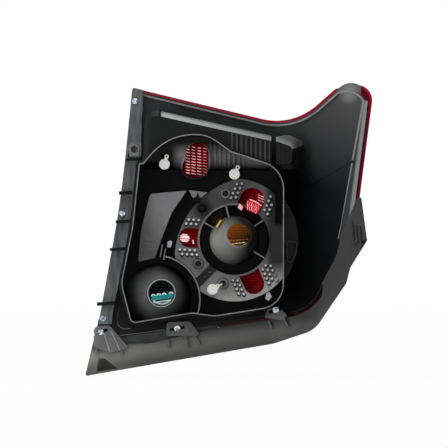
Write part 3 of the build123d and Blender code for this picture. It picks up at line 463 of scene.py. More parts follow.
def plastic(name, dark, light, rough=0.4, grain=GRAIN, depth=GRAINED, specular=0.3):
    """Moulded plastic with a mottled colour."""
    finish = moulded(name, rough, grain, depth, specular)
    finish.colour(finish.mix(finish.spread(finish.noise(MOTTLE_NOISE), 0, 1), dark, light))
    return finish


def streaked(name, dark, light):
    """Moulded plastic with streaks along Z."""
    finish = moulded(name, 0.45, GRAIN, GRAINED)
    streak = finish.spread(finish.noise(MOTTLE_NOISE, 4.0, (3.0, 3.0, 0.3)), 0, 1)
    finish.colour(finish.mix(streak, dark, light))
    return finish


def graded(name, start, end, first, second, rough):
    """Moulded plastic whose colour changes from a start point to an end point."""
    finish = moulded(name, rough)
    speck = finish.spread(finish.noise(SPECK_NOISE), -SPECK, SPECK)
    share = finish.math("ADD", finish.slope(start, end), speck)
    finish.colour(finish.mix(finish.spread(share, 0, 1, 0, 1), first, second))
    return finish


def lens(name, colour, clear, rough):
    """Coloured transparent plastic."""
    finish = Finish(name)
    finish.set(IOR=LENS_IOR, Transmission_Weight=clear, Specular_IOR_Level=0.25)
    deep = tuple(part * LENS_DEEP for part in colour)
    finish.colour(finish.mix(finish.spread(finish.noise(LENS_NOISE), 0, 1), deep, colour))
    finish.rough(finish.spread(finish.noise(LENS_GLOSS_NOISE), rough, rough + LENS_GLOSS_RANGE))
    return finish


def metal(name, dark, light, rough):
    """Plated metal with spots of a darker tone, which leave painted glints between them."""
    finish = Finish(name)
    finish.set(Metallic=1.0)
    finish.colour(finish.mix(finish.spread(finish.noise(METAL_NOISE), 0, 1, 0.4, 0.6), dark, light))
    gloss = finish.noise(METAL_GLOSS_NOISE)
    finish.rough(finish.spread(gloss, rough - METAL_GLOSS_RANGE, rough + METAL_GLOSS_RANGE))
    return finish


def painted_prism_glow(name, dark, light):
    """Facet of a lens prism, painted with a highlight colour that also glows as painted light, for the light
    from the lens side that shines through.
    """
    finish = Finish(name)
    finish.set(Specular_IOR_Level=0.15, Roughness=0.2)
    tone = finish.mix(finish.spread(finish.noise(PRISM_NOISE), 0, 1), dark, light)
    finish.colour(tone)
    finish.glow(tone, LENS_GLOW)
    return finish


def wing_finish():
    """Smooth black plastic with a painted grey sheen towards the ear and a painted glint on it, painted
    shade beside the rim, and lighter above the tub.
    """
    finish = moulded("housing_wing", 0.36, specular=0.22)
    to_ear = finish.slope((110, 60), (140, 186))
    off_rim = finish.slope((58, 0), (120, 60))
    over_tub = finish.math("MULTIPLY", finish.slope((85, 0), (25, 0)), finish.slope((0, 92), (0, 104)))
    glint = finish.near(EAR_GLINT, full=3, none=15, most=0.7)
    sheen = finish.mix(to_ear, (0.006, 0.0065, 0.0075), (0.075, 0.076, 0.078))
    tone = finish.mix(off_rim, (0.003, 0.0032, 0.0036), sheen)
    tone = finish.mix(over_tub, tone, (0.036, 0.037, 0.039))
    finish.colour(finish.mix(glint, tone, (0.32, 0.322, 0.325)))
    return finish


def floor_finish():
    """Black floor with a grey band along the trim."""
    finish = moulded("housing_floor", 0.4, specular=0.2)
    above = finish.line((-148, -125), (-90, -119.5))
    in_band = finish.spread(above, 1, 0, -0.4 * MM, 0.4 * MM)
    mottle = finish.spread(finish.noise(MOTTLE_NOISE), 0, 1)
    grey = finish.mix(mottle, (0.045, 0.046, 0.048), (0.075, 0.076, 0.078))
    finish.colour(finish.mix(in_band, (0.005, 0.0053, 0.006), grey))
    return finish


def ledge_finish():
    """Sloping ledge painted light grey, with a painted highlight along its near edge, and darker towards its
    outboard end.
    """
    finish = moulded("housing_ledge", 0.4)
    along = finish.slope((-85, 0), (70, 0))
    near = finish.spread(finish.axis("Y"), 1, 0, 5 * MM, 8 * MM)
    base = finish.mix(along, (0.12, 0.121, 0.123), (0.045, 0.046, 0.047))
    light = finish.mix(along, (0.3, 0.302, 0.305), (0.14, 0.141, 0.143))
    finish.colour(finish.mix(near, base, light))
    return finish


def band_finish():
    """Grey band of the wing with a painted highlight along its inner edge and a lighter outer half as
    painted sheen.
    """
    finish = moulded("housing_band", 0.36)
    inner = finish.spread(finish.line((128.0, 25.0), (153.0, 162.0)), 0, 1, -2.4 * MM, -1.4 * MM)
    outer = finish.spread(finish.line((140.0, 44.0), (155.0, 162.0)), 1, 0, -MM, MM)
    light = finish.math("MAXIMUM", inner, outer)
    finish.colour(finish.mix(light, (0.04, 0.041, 0.043), (0.24, 0.241, 0.244)))
    return finish


def trim_finish():
    """Grained grey plastic with painted light along its middle, and painted shade beside the lens and at the
    outboard corner.
    """
    finish = moulded("trim_grey", 0.5, TRIM_GRAIN, TRIM_RELIEF, 0.25)
    edge = finish.math("MULTIPLY_ADD", finish.axis("X"), TRIM_RISE, TRIM_HEIGHT * MM)
    below = finish.math("SUBTRACT", edge, finish.axis("Z"))
    beside = finish.math("MULTIPLY_ADD", finish.axis("X"), TRIM_SIDE_X, TRIM_SIDE_AWAY * MM)
    beside = finish.math("ADD", beside, finish.math("MULTIPLY", finish.axis("Z"), TRIM_SIDE_Z))
    away = finish.math("MAXIMUM", below, beside)
    speck = finish.spread(finish.noise(TRIM_NOISE, 2.0), 0, 1)
    dark = finish.mix(speck, (0.05, 0.051, 0.049), (0.065, 0.066, 0.064))
    light = finish.mix(speck, (0.2, 0.202, 0.196), (0.25, 0.252, 0.245))
    middle = finish.mix(speck, (0.085, 0.086, 0.083), (0.11, 0.111, 0.108))
    inner = finish.mix(finish.spread(away, 0, 1, 2 * MM, 12 * MM), dark, light)
    strip = finish.mix(finish.spread(away, 0, 1, 18 * MM, 30 * MM), inner, middle)
    outboard = finish.slope((-120, -150), (130, -60))
    finish.colour(finish.mix(outboard, strip, (0.045, 0.046, 0.045)))
    return finish


def tail_finish():
    """Reflector with painted light beside its window, darker on its flutes, and painted shade, black,
    towards the carrier and its left end.
    """
    finish = moulded("tail_grey", 0.3, specular=0.12)
    height = finish.math("MULTIPLY", finish.slope((0, 115), (0, 101)), finish.slope((0, 82), (0, 91)))
    lit = finish.math("MULTIPLY", finish.slope((-84, 0), (-71, 0)), height)
    tone = finish.mix(finish.slope((-66, 0), (-36, 0)), (0.22, 0.22, 0.22), (0.13, 0.13, 0.132))
    finish.colour(finish.mix(lit, (0.002, 0.002, 0.0023), tone))
    return finish


def ring_finish():
    """Dished ring, painted lighter towards its edge and bottom, with painted shade on the right, by the hook
    and in its pocket, which is a painted dark band.
    """
    finish = moulded("reflector_grey", 0.34, specular=0.15)
    out = finish.spread(finish.reach(*RING), 0, 1, 46 * MM, 78 * MM)
    low = finish.slope((-30, 50), (20, -72))
    edge = finish.mix(low, (0.085, 0.085, 0.087), (0.36, 0.36, 0.355))
    inner = finish.mix(low, (0.04, 0.04, 0.042), (0.2, 0.2, 0.198))
    right = finish.math("MULTIPLY", finish.slope((31, 0), (40, 0)), finish.slope((0, -58), (0, -34)))
    by_hook = finish.near(RING_SHADE, full=6, none=15)
    # A band of painted shade stands in for a pocket between the two walls
    aside = finish.spread(finish.math("ABSOLUTE", finish.line(*RING_POCKET_SHADE)), 1, 0, 5.2 * MM, 6.4 * MM)
    pocket = finish.math("MULTIPLY", aside, finish.slope((-24, -33), (-29, -38)))
    shade = finish.math("MAXIMUM", finish.math("MAXIMUM", right, by_hook), pocket)
    finish.colour(finish.mix(shade, finish.mix(out, inner, edge), (0.01, 0.01, 0.011)))
    return finish


def bump_finish():
    """Dome bump with a painted highlight on its upper side and painted shade below and round its foot."""
    finish = moulded("ring_bump_top", 0.16, depth=SMOOTH, specular=0.5)
    split = finish.node("ShaderNodeSeparateXYZ")
    finish.link(finish.node("ShaderNodeTexCoord").outputs["Normal"], split.inputs["Vector"])
    rise = finish.math("MULTIPLY", split.outputs["Z"], BUMP_LIGHT_Z)
    facing = finish.math("MULTIPLY_ADD", split.outputs["Y"], BUMP_LIGHT_Y, rise)
    light = finish.spread(facing, 0, 1, 0.55, 0.95)
    finish.colour(finish.mix(light, (0.005, 0.005, 0.006), (0.6, 0.6, 0.59)))
    return finish


def cone_finish():
    """Cone with painted light at the lower left, and painted shade towards the top and the right."""
    finish = moulded("cone_grey", 0.5, specular=0.06)
    light = finish.near(CONE_LIGHT, full=2, none=43)
    finish.colour(finish.mix(light, (0.012, 0.012, 0.013), (0.34, 0.34, 0.332)))
    return finish


def dome_finish():
    """Dark dome with painted light beside its hole on the left."""
    finish = moulded("reflector_black", 0.45, specular=0.15)
    light = finish.near(DOME_LIGHT, full=12, none=44)
    finish.colour(finish.mix(light, (0.012, 0.013, 0.0125), (0.09, 0.094, 0.09)))
    return finish


def collar_finish():
    """Dark collar with one thin light ring."""
    finish = moulded("reverse_collar", 0.3, depth=SMOOTH)
    out = finish.reach(*REVERSE)
    past_inner = finish.spread(out, 0, 1, 16.5 * MM, 16.8 * MM)
    before_outer = finish.spread(out, 1, 0, 17.5 * MM, 17.8 * MM)
    ring = finish.math("MINIMUM", past_inner, before_outer)
    finish.colour(finish.mix(ring, (0.012, 0.013, 0.0125), (0.38, 0.38, 0.37)))
    return finish


def amber_finish():
    """Amber lens with painted light and a painted glow behind the hole, brightest at its upper left, and
    brown elsewhere.
    """
    finish = moulded("lens_amber", 0.2, depth=SMOOTH)
    outside = finish.spread(finish.reach(*TURN), 0, 1, 14.5 * MM, 16 * MM)
    share = finish.math("MAXIMUM", finish.slope((-9, 9), (3, -9)), outside)
    tone = finish.mix(share, (0.6, 0.17, 0.012), (0.05, 0.018, 0.005))
    finish.colour(tone)
    finish.glow(tone, AMBER_GLOW)
    return finish


def paint(node_name, base, *rules):
    """Base finish on a node, and further finishes on the faces that their rules pick; later rules win."""
    mesh = nodes[node_name].data
    mesh.materials.clear()
    mesh.materials.append(base.material)
    for finish, _ in rules:
        mesh.materials.append(finish.material)
    for face in mesh.polygons:
        spot = face.center / MM
        face.material_index = 0
        for index, (_, picks) in enumerate(rules, 1):
            if picks(spot, face.normal):
                face.material_index = index


class Strips:
    """Closed strips and plates in one mesh, on (x, z) points.

    The levels of a strip are the Y of its crest, towards the car body, and of its root.
    """

    def __init__(self):
        self.spots = []
        self.faces = []
        self.picks = []

    def add(self, faces, pick):
        """Faces with the finish that a pick names by its place in the piece's finishes."""
        self.faces += faces
        self.picks += [pick] * len(faces)

    def strip(self, points, width, levels, pick):
        """Three-sided strip with closed ends, with the levels of each point."""
        first = len(self.spots)
        path = [Vector(point) for point in points]
        for index, (spot, (crest_y, root_y)) in enumerate(zip(path, levels)):
            ahead = path[min(index + 1, len(path) - 1)] - path[max(index - 1, 0)]
            side = Vector((-ahead.y, ahead.x)).normalized() * width / 2
            self.spots.append((spot.x + side.x, root_y, spot.y + side.y))
            self.spots.append((spot.x - side.x, root_y, spot.y - side.y))
            self.spots.append((spot.x, crest_y, spot.y))
        last = len(self.spots) - 3
        faces = []
        for near in range(first, last, 3):
            for corner in range(3):
                other = (corner + 1) % 3
                faces.append((near + corner, near + other, near + 3 + other, near + 3 + corner))
        faces.append((first + 2, first + 1, first))
        faces.append((last, last + 1, last + 2))
        self.add(faces, pick)

    def ridge(self, points, width, levels, pick=0):
        """Strip with the same levels all along."""
        self.strip(points, width, [levels] * len(points), pick)

    def bead(self, node_name, points, width, height, pick=0):
        """Strip that lies on a node's back surface."""
        mesh = nodes[node_name].data
        skin = BVHTree.FromPolygons([v.co for v in mesh.vertices], [p.vertices for p in mesh.polygons])
        levels = []
        for x, z in points:
            start = Vector((x * MM, cad_box[0].y - MM, z * MM))
            seat_y = skin.ray_cast(start, Vector((0, 1, 0)))[0].y / MM
            levels.append((seat_y - height, seat_y + height))
        self.strip(points, width, levels, pick)

    def slab(self, corners, levels, pick=0):
        """Flat plate between two levels, with an outline given anticlockwise as seen from the car body."""
        first = len(self.spots)
        count = len(corners)
        self.spots += [(x, y, z) for y in levels for x, z in corners]
        faces = [tuple(first + index for index in range(count))]
        faces.append(tuple(first + count + index for index in reversed(range(count))))
        for index in range(count):
            after = (index + 1) % count
            faces.append((first + after, first + index, first + count + index, first + count + after))
        self.add(faces, pick)

    def build(self, name, slot, *finishes):
        """Piece that rides on the root body, with the finishes that the picks name."""
        mesh = bpy.data.meshes.new(name)
        mesh.from_pydata([(x * MM, y * MM, z * MM) for x, y, z in self.spots], [], self.faces)
        for finish in finishes:
            mesh.materials.append(finish.material)
        mesh.polygons.foreach_set("material_index", self.picks)
        shape = bmesh.new()
        shape.from_mesh(mesh)
        bmesh.ops.recalc_face_normals(shape, faces=shape.faces)
        shape.to_mesh(mesh)
        shape.free()
        piece = bpy.data.objects.new(name, mesh)
        bpy.context.scene.collection.objects.link(piece)
        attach(piece, "root")


def arc_points(x, z, radius, start, end, steps):
    """Points on an arc between two angles in degrees."""
    turns = [math.radians(start + (end - start) * step / steps) for step in range(steps + 1)]
    return [(x + radius * math.cos(turn), z + radius * math.sin(turn)) for turn in turns]


def run_points(x, z, step_x, step_z, count):
    """Points in a straight row."""
    return [(x + step_x * index, z + step_z * index) for index in range(count)]


def bar_points(x, z, half, rise):
    """Ends of a short bar about its middle."""
    return (x - half, z - rise), (x + half, z + rise)


def seen_white(tree):
    """1 for camera, glossy and transmission rays, so that the backdrop is white where it shows."""
    path = tree.nodes.new("ShaderNodeLightPath")
    total = path.outputs["Is Camera Ray"]
    for name in ("Is Glossy Ray", "Is Transmission Ray"):
        step = tree.nodes.new("ShaderNodeMath")
        step.operation = "MAXIMUM"
        tree.links.new(total, step.inputs[0])
        tree.links.new(path.outputs[name], step.inputs[1])
        total = step.outputs["Value"]
    return total


def make_world():
    """White where it shows, and a weaker white fill light on the object."""
    world = bpy.data.worlds.new("studio")
    world.use_nodes = True
    tree = world.node_tree
    fill = tree.nodes["Background"]
    fill.inputs["Color"].default_value = WHITE
    fill.inputs["Strength"].default_value = FILL
    white = tree.nodes.new("ShaderNodeBackground")
    white.inputs["Color"].default_value = WHITE
    mix = tree.nodes.new("ShaderNodeMixShader")
    tree.links.new(seen_white(tree), mix.inputs["Fac"])
    tree.links.new(fill.outputs["Background"], mix.inputs[1])
    tree.links.new(white.outputs["Background"], mix.inputs[2])
    tree.links.new(mix.outputs["Shader"], tree.nodes["World Output"].inputs["Surface"])
    bpy.context.scene.world = world


def make_floor():
    """Pale floor under the object, nearly white where it shows, with the object's shadow."""
    level = cad_box[0].z - FLOOR_BELOW
    mesh = bpy.data.meshes.new("floor")
    corners = [(x * FLOOR_HALF, y * FLOOR_HALF, level) for x, y in ((-1, -1), (1, -1), (1, 1), (-1, 1))]
    mesh.from_pydata(corners, [], [(0, 1, 2, 3)])
    floor = bpy.data.objects.new("floor", mesh)
    bpy.context.scene.collection.objects.link(floor)
    material = bpy.data.materials.new("floor_white")
    material.use_nodes = True
    tree = material.node_tree
    tree.nodes.remove(tree.nodes["Principled BSDF"])
    matt = tree.nodes.new("ShaderNodeBsdfDiffuse")
    matt.inputs["Color"].default_value = FLOOR_COLOUR
    glow = tree.nodes.new("ShaderNodeEmission")
    share = tree.nodes.new("ShaderNodeMath")
    share.operation = "MULTIPLY"
    share.inputs[1].default_value = FLOOR_WHITE
    mix = tree.nodes.new("ShaderNodeMixShader")
    tree.links.new(seen_white(tree), share.inputs[0])
    tree.links.new(share.outputs["Value"], mix.inputs["Fac"])
    tree.links.new(matt.outputs["BSDF"], mix.inputs[1])
    tree.links.new(glow.outputs["Emission"], mix.inputs[2])
    tree.links.new(mix.outputs["Shader"], tree.nodes["Material Output"].inputs["Surface"])
    mesh.materials.append(material)


def make_light(name, place, size, power):
    """Soft round lamp aimed at the origin."""
    lamp = bpy.data.lights.new(name, "AREA")
    lamp.shape = "DISK"
    lamp.size = size
    lamp.energy = power
    holder = bpy.data.objects.new(name, lamp)
    holder.location = place
    holder.rotation_euler = (-Vector(place)).to_track_quat("-Z", "Y").to_euler()
    bpy.context.scene.collection.objects.link(holder)


def make_camera():
    data = bpy.data.cameras.new("camera")
    data.sensor_width = SENSOR
    data.lens = SENSOR * (CAMERA_AWAY + VIEW_DEPTH) / VIEW_WIDTH
    data.clip_end = CLIP_END
    camera = bpy.data.objects.new("camera", data)
    camera.location = (VIEW_X, -CAMERA_AWAY, VIEW_Z)
    camera.rotation_euler = (math.radians(90), 0, 0)
    bpy.context.scene.collection.objects.link(camera)
    bpy.context.scene.camera = camera


# Finishes of the housing
black = plastic("housing_black", (0.003, 0.0033, 0.0037), (0.005, 0.0053, 0.0058), 0.38, specular=0.14)
# Wing: painted sheen and glint towards the ear, painted shade beside the rim
wing_painted_sheen = wing_finish()
floor_black = floor_finish()
# Left flange: real streaks, on a grey lighter than the housing black as a painted sheen of the light it
# catches
flange_painted_sheen = streaked("housing_flange", (0.05, 0.052, 0.055), (0.16, 0.163, 0.167))
# Ledge: painted light, with a painted highlight along its near edge
ledge_painted_light = ledge_finish()
boss_grey = plastic("housing_boss", (0.13, 0.132, 0.134), (0.2, 0.202, 0.204), 0.36)
# Rim lip: painted highlight standing in for its rounded edge catching the light
lip_painted_highlight = plastic("housing_lip", (0.14, 0.14, 0.14), (0.27, 0.27, 0.27), 0.35)
# Beads on the housing and the floor: painted highlight along their crests
bead_painted_highlight = plastic("housing_bead", (0.2, 0.201, 0.203), (0.3, 0.301, 0.303), 0.32)
flute_grey = plastic("housing_flute", (0.016, 0.0165, 0.017), (0.028, 0.0285, 0.029), 0.36)
latch_grey = plastic("housing_latch", (0.011, 0.0113, 0.0118), (0.018, 0.0185, 0.019), 0.3, specular=0.2)
# Wing band: painted highlight and sheen
band_painted_highlight = band_finish()
paint(
    "housing",
    black,
    (wing_painted_sheen, lambda spot, normal: spot.x > RIM_SIDE_X and depth_of(spot) < WING_DEPTH),
    (floor_black, lambda spot, normal: on_floor(spot, normal) and spot.z < LOW_FLOOR_Z and spot.x < 0),
    (flange_painted_sheen, on_flange),
    (wing_painted_sheen, lambda spot, normal: on_floor(spot, normal) and spot.z > HIGH_FLOOR_Z),
    (black, lambda spot, normal: on_block(spot)),
    (ledge_painted_light, on_ledge),
    (flute_grey, on_flute),
    (latch_grey, lambda spot, normal: on_latch(spot)),
    (bead_painted_highlight, lambda spot, normal: on_bead(spot) and normal.y < BEVELLED),
    (latch_grey, lambda spot, normal: on_bead(spot) and normal.y < BEVELLED and spot.z < 0),
    (band_painted_highlight, lambda spot, normal: on_bead(spot) and normal.y < BAND_BEVELLED and spot.x > BAND_X),
    (boss_grey, lambda spot, normal: away_from(spot, RECESS) < RECESS_BOSS and normal.y < BOSS_SQUARE),
    (lip_painted_highlight, lambda spot, normal: spot.y < RIM_LIP_Y and spot.x < RIM_SIDE_X and normal.y < LIP_SQUARE),
)

# Finishes of the trim
# Trim: painted light along its middle, painted shade beside the lens and at the outboard corner
trim_grey = trim_finish()
tab_grey = plastic("trim_tab", (0.11, 0.111, 0.11), (0.16, 0.161, 0.16), 0.45, TRIM_GRAIN, TAB_RELIEF)
fin_grey = plastic("trim_fin", (0.22, 0.222, 0.22), (0.3, 0.302, 0.3), 0.4, TRIM_GRAIN, TAB_RELIEF)
paint(
    "lower_trim",
    trim_grey,
    (tab_grey, lambda spot, normal: depth_of(spot) > TAB_DEPTH and spot.x < TAB_X),
    (fin_grey, lambda spot, normal: depth_of(spot) > FIN_DEPTH and normal.y < TOWARDS and spot.x < TAB_X),
)

# Finishes of the carrier and the tail reflector
# Carrier: its own black, also used as painted shade on the deep back of the ring and the far end of the cone
black_and_deep_shade = plastic("carrier_grey", (0.002, 0.002, 0.0023), (0.004, 0.004, 0.0043), 0.35, specular=0.05)
label_grey = graded("carrier_label", (-124, 0), (-88, 20), (0.05, 0.05, 0.053), (0.16, 0.16, 0.165), 0.45)
# Chamber lip and label frame: painted highlight on their edges
edge_painted_highlight = plastic("carrier_edge", (0.12, 0.12, 0.12), (0.18, 0.18, 0.18), 0.35)
paint(
    "reflector_carrier",
    black_and_deep_shade,
    (label_grey, lambda spot, normal: within(spot.y, LABEL_Y) and normal.y < SQUARE),
    (edge_painted_highlight, lambda spot, normal: spot.y < CHAMBER_LIP_Y and normal.y < TOWARDS),
    (edge_painted_highlight, lambda spot, normal: within(spot.y, LABEL_FRAME_Y) and normal.y < TOWARDS),
)
paint("tail_reflector", tail_finish())

# Finishes of the ring, the cone and the dome
# Boss rims, the ring's lit lip, the cone's ribs and some beads on the ring: painted highlight
rib_painted_highlight = plastic("cone_rib", (0.14, 0.14, 0.14), (0.2, 0.2, 0.2), 0.36)
# Hollows of the bosses: painted shade
hollow_painted_shade = plastic("boss_hollow", (0.016, 0.016, 0.017), (0.03, 0.03, 0.031), 0.4, specular=0.1)
boss_dark = plastic("ring_bump", (0.005, 0.005, 0.006), (0.01, 0.01, 0.011), 0.16, FINE_GRAIN, SMOOTH, 0.5)
paint(
    "ring_reflector",
    ring_finish(),
    # painted shade on the ring's back beyond the dish
    (black_and_deep_shade, lambda spot, normal: spot.y > DISH_BACK_Y),
    (hollow_painted_shade, lambda spot, normal: in_boss(spot)),
    (rib_painted_highlight, lambda spot, normal: on_boss(spot) and normal.y < SQUARE),
    (rib_painted_highlight, on_ring_lip),
    (bump_finish(), lambda spot, normal: on_bump(spot)),
)
paint(
    "turn_reflector",
    cone_finish(),
    # painted shade on the cone's far end
    (black_and_deep_shade, lambda spot, normal: spot.y > CONE_END_Y),
    (rib_painted_highlight, lambda spot, normal: away_from(spot, RING) > RIB_OUT and spot.y < RIB_Y),
)
paint(
    "reverse_reflector",
    dome_finish(),
    (collar_finish(), lambda spot, normal: spot.y < COLLAR_Y and normal.y < TOWARDS),
)

# Finishes of the lenses
# Lens skirt: red with a painted glow for the light the lens passes on
skirt_red_glow = plastic("lens_skirt", (0.2, 0.003, 0.009), (0.27, 0.005, 0.014), 0.2, FINE_GRAIN, SMOOTH)
skirt_red_glow.set(Emission_Color=(0.22, 0.008, 0.03, 1.0), Emission_Strength=SKIRT_GLOW)
# Skirt's back edge above the trim: painted shade
foot_red_shade = plastic("lens_foot_shade", (0.05, 0.006, 0.012), (0.09, 0.01, 0.02), 0.3)
corner_red = plastic("lens_shade", (0.016, 0.002, 0.004), (0.026, 0.003, 0.006), 0.3)
deep_red = plastic("inner_red", (0.3, 0.001, 0.005), (0.42, 0.002, 0.01), 0.25, FINE_GRAIN, SMOOTH, 0.12)
# Amber leg: painted light on its tip, painted shade, brown, on the rest
leg_painted_light = plastic("amber_leg", (0.55, 0.33, 0.09), (0.7, 0.45, 0.14), 0.25)
leg_painted_shade = plastic("amber_leg_foot", (0.03, 0.018, 0.006), (0.05, 0.03, 0.01), 0.3)
# Clear reversing lens: painted shade, dark navy at the top, teal below
clear_lens_painted_shade = graded("inner_clear", (-96, -72), (-94, -80), (0.01, 0.014, 0.03), (0.06, 0.25, 0.27), 0.15)
paint(
    "outer_lens",
    lens("lens_red", (0.62, 0.006, 0.02), 0.42, 0.05),
    (skirt_red_glow, lambda spot, normal: depth_of(spot) > SKIRT_DEPTH),
    (foot_red_shade, lambda spot, normal: on_lens_foot(spot)),
    (corner_red, lambda spot, normal: on_lens_corner(spot)),
)
paint("reverse_window", lens("lens_clear", (0.86, 0.94, 0.95), 0.9, 0.04))
paint("tail_inner_lens", deep_red)
paint("stop_inner_lens", deep_red)
paint(
    "turn_inner_lens",
    amber_finish(),
    (leg_painted_shade, lambda spot, normal: spot.y < LEG_Y),
    (leg_painted_light, lambda spot, normal: spot.y < LEG_TIP_Y and normal.y < TOWARDS),
)
paint("reverse_inner_lens", clear_lens_painted_shade)

# Finishes of the small pieces
bezel_dark = plastic("bezel_dark", (0.012, 0.012, 0.013), (0.02, 0.02, 0.021), 0.25, BEZEL_GRAIN, SMOOTH)
sealant = plastic("sealant", (0.012, 0.012, 0.012), (0.02, 0.02, 0.02), 0.7, SEAL_GRAIN, SEAL_RELIEF)
clip_white = plastic("clip_white", (0.74, 0.735, 0.7), (0.84, 0.835, 0.81), 0.4, TRIM_GRAIN, SATIN, 0.4)
clip_ring = plastic("clip_ring", (0.5, 0.495, 0.47), (0.62, 0.615, 0.59), 0.4)
# Clip side walls and grooves: painted shade
clip_painted_shade = plastic("clip_painted_shade", (0.3, 0.3, 0.29), (0.42, 0.42, 0.41), 0.4)
# Screws: painted glints on the heads, painted shade on their side walls
screw_zinc = metal("screw_zinc", (0.09, 0.14, 0.19), (0.72, 0.8, 0.87), 0.24)
screw_painted_shade = metal("screw_side", (0.03, 0.04, 0.05), (0.08, 0.1, 0.12), 0.35)
paint("front_bezel", bezel_dark)
# Sealant, with the lens skirt's red and painted glow where the seal shows at the ear
paint(
    "lens_seal",
    sealant,
    (skirt_red_glow, lambda spot, normal: spot.x > SEAL_SHOWN[0] and spot.z > SEAL_SHOWN[1]),
)
paint("reflector_clips", clip_white, (clip_painted_shade, lambda spot, normal: normal.y > SIDEWAYS))
for screws in ("flange_screws", "trim_screws"):
    paint(screws, screw_zinc, (screw_painted_shade, lambda spot, normal: normal.y > SIDEWAYS))

# Finishes of the prisms: painted highlights with a painted glow
pink_white = painted_prism_glow("prism_pink_white", (0.8, 0.5, 0.53), (0.95, 0.75, 0.76))
pink = painted_prism_glow("prism_pink", (0.5, 0.2, 0.22), (0.68, 0.35, 0.37))
bright_red = painted_prism_glow("prism_red", (0.3, 0.003, 0.008), (0.42, 0.006, 0.016))
gold = painted_prism_glow("prism_gold", (0.26, 0.13, 0.03), (0.36, 0.2, 0.06))
gold_white = painted_prism_glow("prism_gold_white", (0.6, 0.46, 0.26), (0.8, 0.66, 0.44))
turquoise = painted_prism_glow("prism_turquoise", (0.02, 0.2, 0.22), (0.05, 0.32, 0.33))
clear_white = painted_prism_glow("prism_white", (0.8, 0.86, 0.87), (0.92, 0.95, 0.95))
pale_green = painted_prism_glow("prism_green", (0.3, 0.36, 0.34), (0.42, 0.48, 0.46))
lilac = plastic("lens_lilac", (0.3, 0.28, 0.38), (0.5, 0.48, 0.58), 0.15, FINE_GRAIN, SMOOTH)

# Lens lugs beside the ring, clear plastic painted lilac as a painted reflection
LEFT_LUG = ((-89.5, -15.5), (-84.5, -15.8), (-83.0, -8.0), (-85.5, -6.6), (-89.0, -9.0))
LOWER_LUG = ((33.5, -80.0), (38.0, -82.5), (42.0, -77.5), (39.0, -71.5), (35.0, -73.0))
lens_lugs = Strips()
lens_lugs.slab(LEFT_LUG, LEFT_LUG_Y)
lens_lugs.slab(LOWER_LUG, LOWER_LUG_Y)
lens_lugs.build("lens_lugs", "lens_clear", lilac)

# Corner beside the slot of the first trim tab
TAB_CORNER = ((-180.2, -128.4), (-176.0, -128.4), (-175.6, -118.6), (-179.4, -118.6), (-181.0, -121.5))
tab_corner = Strips()
tab_corner.slab(TAB_CORNER, TAB_CORNER_Y)
tab_corner.build("tab_corner", "trim_grey", tab_grey)

# Snap hook at the upper left of the ring, and the hollow stud beside it
HOOK = (
    (-57.5, 41.0), (-48.5, 39.0), (-46.5, 44.5), (-49.0, 47.5),
    (-51.0, 53.5), (-53.0, 47.5), (-58.0, 46.0),
)
STUD = (-45.5, 32.8)
snap_hook = Strips()
snap_hook.slab(HOOK, HOOK_Y)
stud_wall = arc_points(*STUD, radius=4.4, start=0, end=350, steps=20)
snap_hook.ridge(stud_wall, width=2.2, levels=STUD_Y)
snap_hook.build("snap_hook", "carrier_grey", black_and_deep_shade)

# Beads on the floor: two round the tub's corner and one along the trim, the first corner bead and the trim
# bead with a painted highlight
CORNER_BEAD = (
    (-151.3, -95.0), (-152.4, -106.0), (-151.4, -112.5),
    (-148.1, -116.6), (-143.1, -118.0), (-135.6, -117.5),
)
FOOT_BEAD = (
    (-146.0, -90.0), (-143.6, -98.8), (-139.4, -107.5),
    (-135.6, -114.0), (-123.0, -112.7), (-108.0, -110.9),
)
floor_beads = Strips()
floor_beads.bead("housing", CORNER_BEAD, width=1.7, height=0.8)
floor_beads.bead("housing", FOOT_BEAD, width=1.5, height=0.7, pick=1)
trim_bead = run_points(x=-148.7, z=-126.4, step_x=4.74, step_z=0.62, count=13)
floor_beads.bead("housing", trim_bead, width=1.6, height=0.8)
floor_beads.build("floor_beads", "housing_black", bead_painted_highlight, flute_grey)

# A ring and a groove on each clip, and the neck of the lower clip
CLIP_NECK = ((-27.0, -66.1), (-19.8, -62.0), (-20.8, -60.2), (-28.0, -64.3))
clip_rings = Strips()
for x, z in CLIPS:
    ring = arc_points(x, z, radius=4.6, start=0, end=350, steps=28)
    groove = bar_points(x, z, half=1.6, rise=-0.9)
    clip_rings.bead("reflector_clips", ring, width=0.9, height=0.5)
    clip_rings.bead("reflector_clips", groove, width=1.0, height=0.5, pick=1)
clip_rings.slab(CLIP_NECK, CLIP_NECK_Y)
clip_rings.build("clip_rings", "clip_white", clip_ring, clip_painted_shade)

# Rings round the hollow bosses, and the walls and studs of the pocket between two of them; the upper ring's
# arc, the walls and the studs carry a painted highlight
lower_ring = arc_points(*LOWER_BOSS, radius=7.3, start=-70, end=190, steps=24)
side_ring = arc_points(*SIDE_BOSS, radius=6.6, start=-60, end=240, steps=24)
upper_ring = arc_points(*UPPER_BOSS, radius=7.2, start=50, end=215, steps=20)
upper_wall = run_points(x=-49.5, z=-50.9, step_x=1.1, step_z=1.1, count=11)
lower_wall = run_points(x=-44.5, z=-61.6, step_x=1.2, step_z=1.2, count=11)
upper_stud = run_points(x=-37.0, z=-47.6, step_x=0.8, step_z=0.8, count=3)
lower_stud = run_points(x=-42.6, z=-53.6, step_x=0.8, step_z=0.8, count=3)
boss_rings = Strips()
boss_rings.bead("ring_reflector", lower_ring, width=1.5, height=0.6)
boss_rings.bead("ring_reflector", side_ring, width=1.5, height=0.6)
boss_rings.bead("ring_reflector", upper_ring, width=1.4, height=0.6, pick=1)
for wall in (upper_wall, lower_wall):
    boss_rings.bead("ring_reflector", wall, width=1.1, height=0.8, pick=1)
boss_rings.bead("ring_reflector", upper_stud, width=3.2, height=1.0, pick=1)
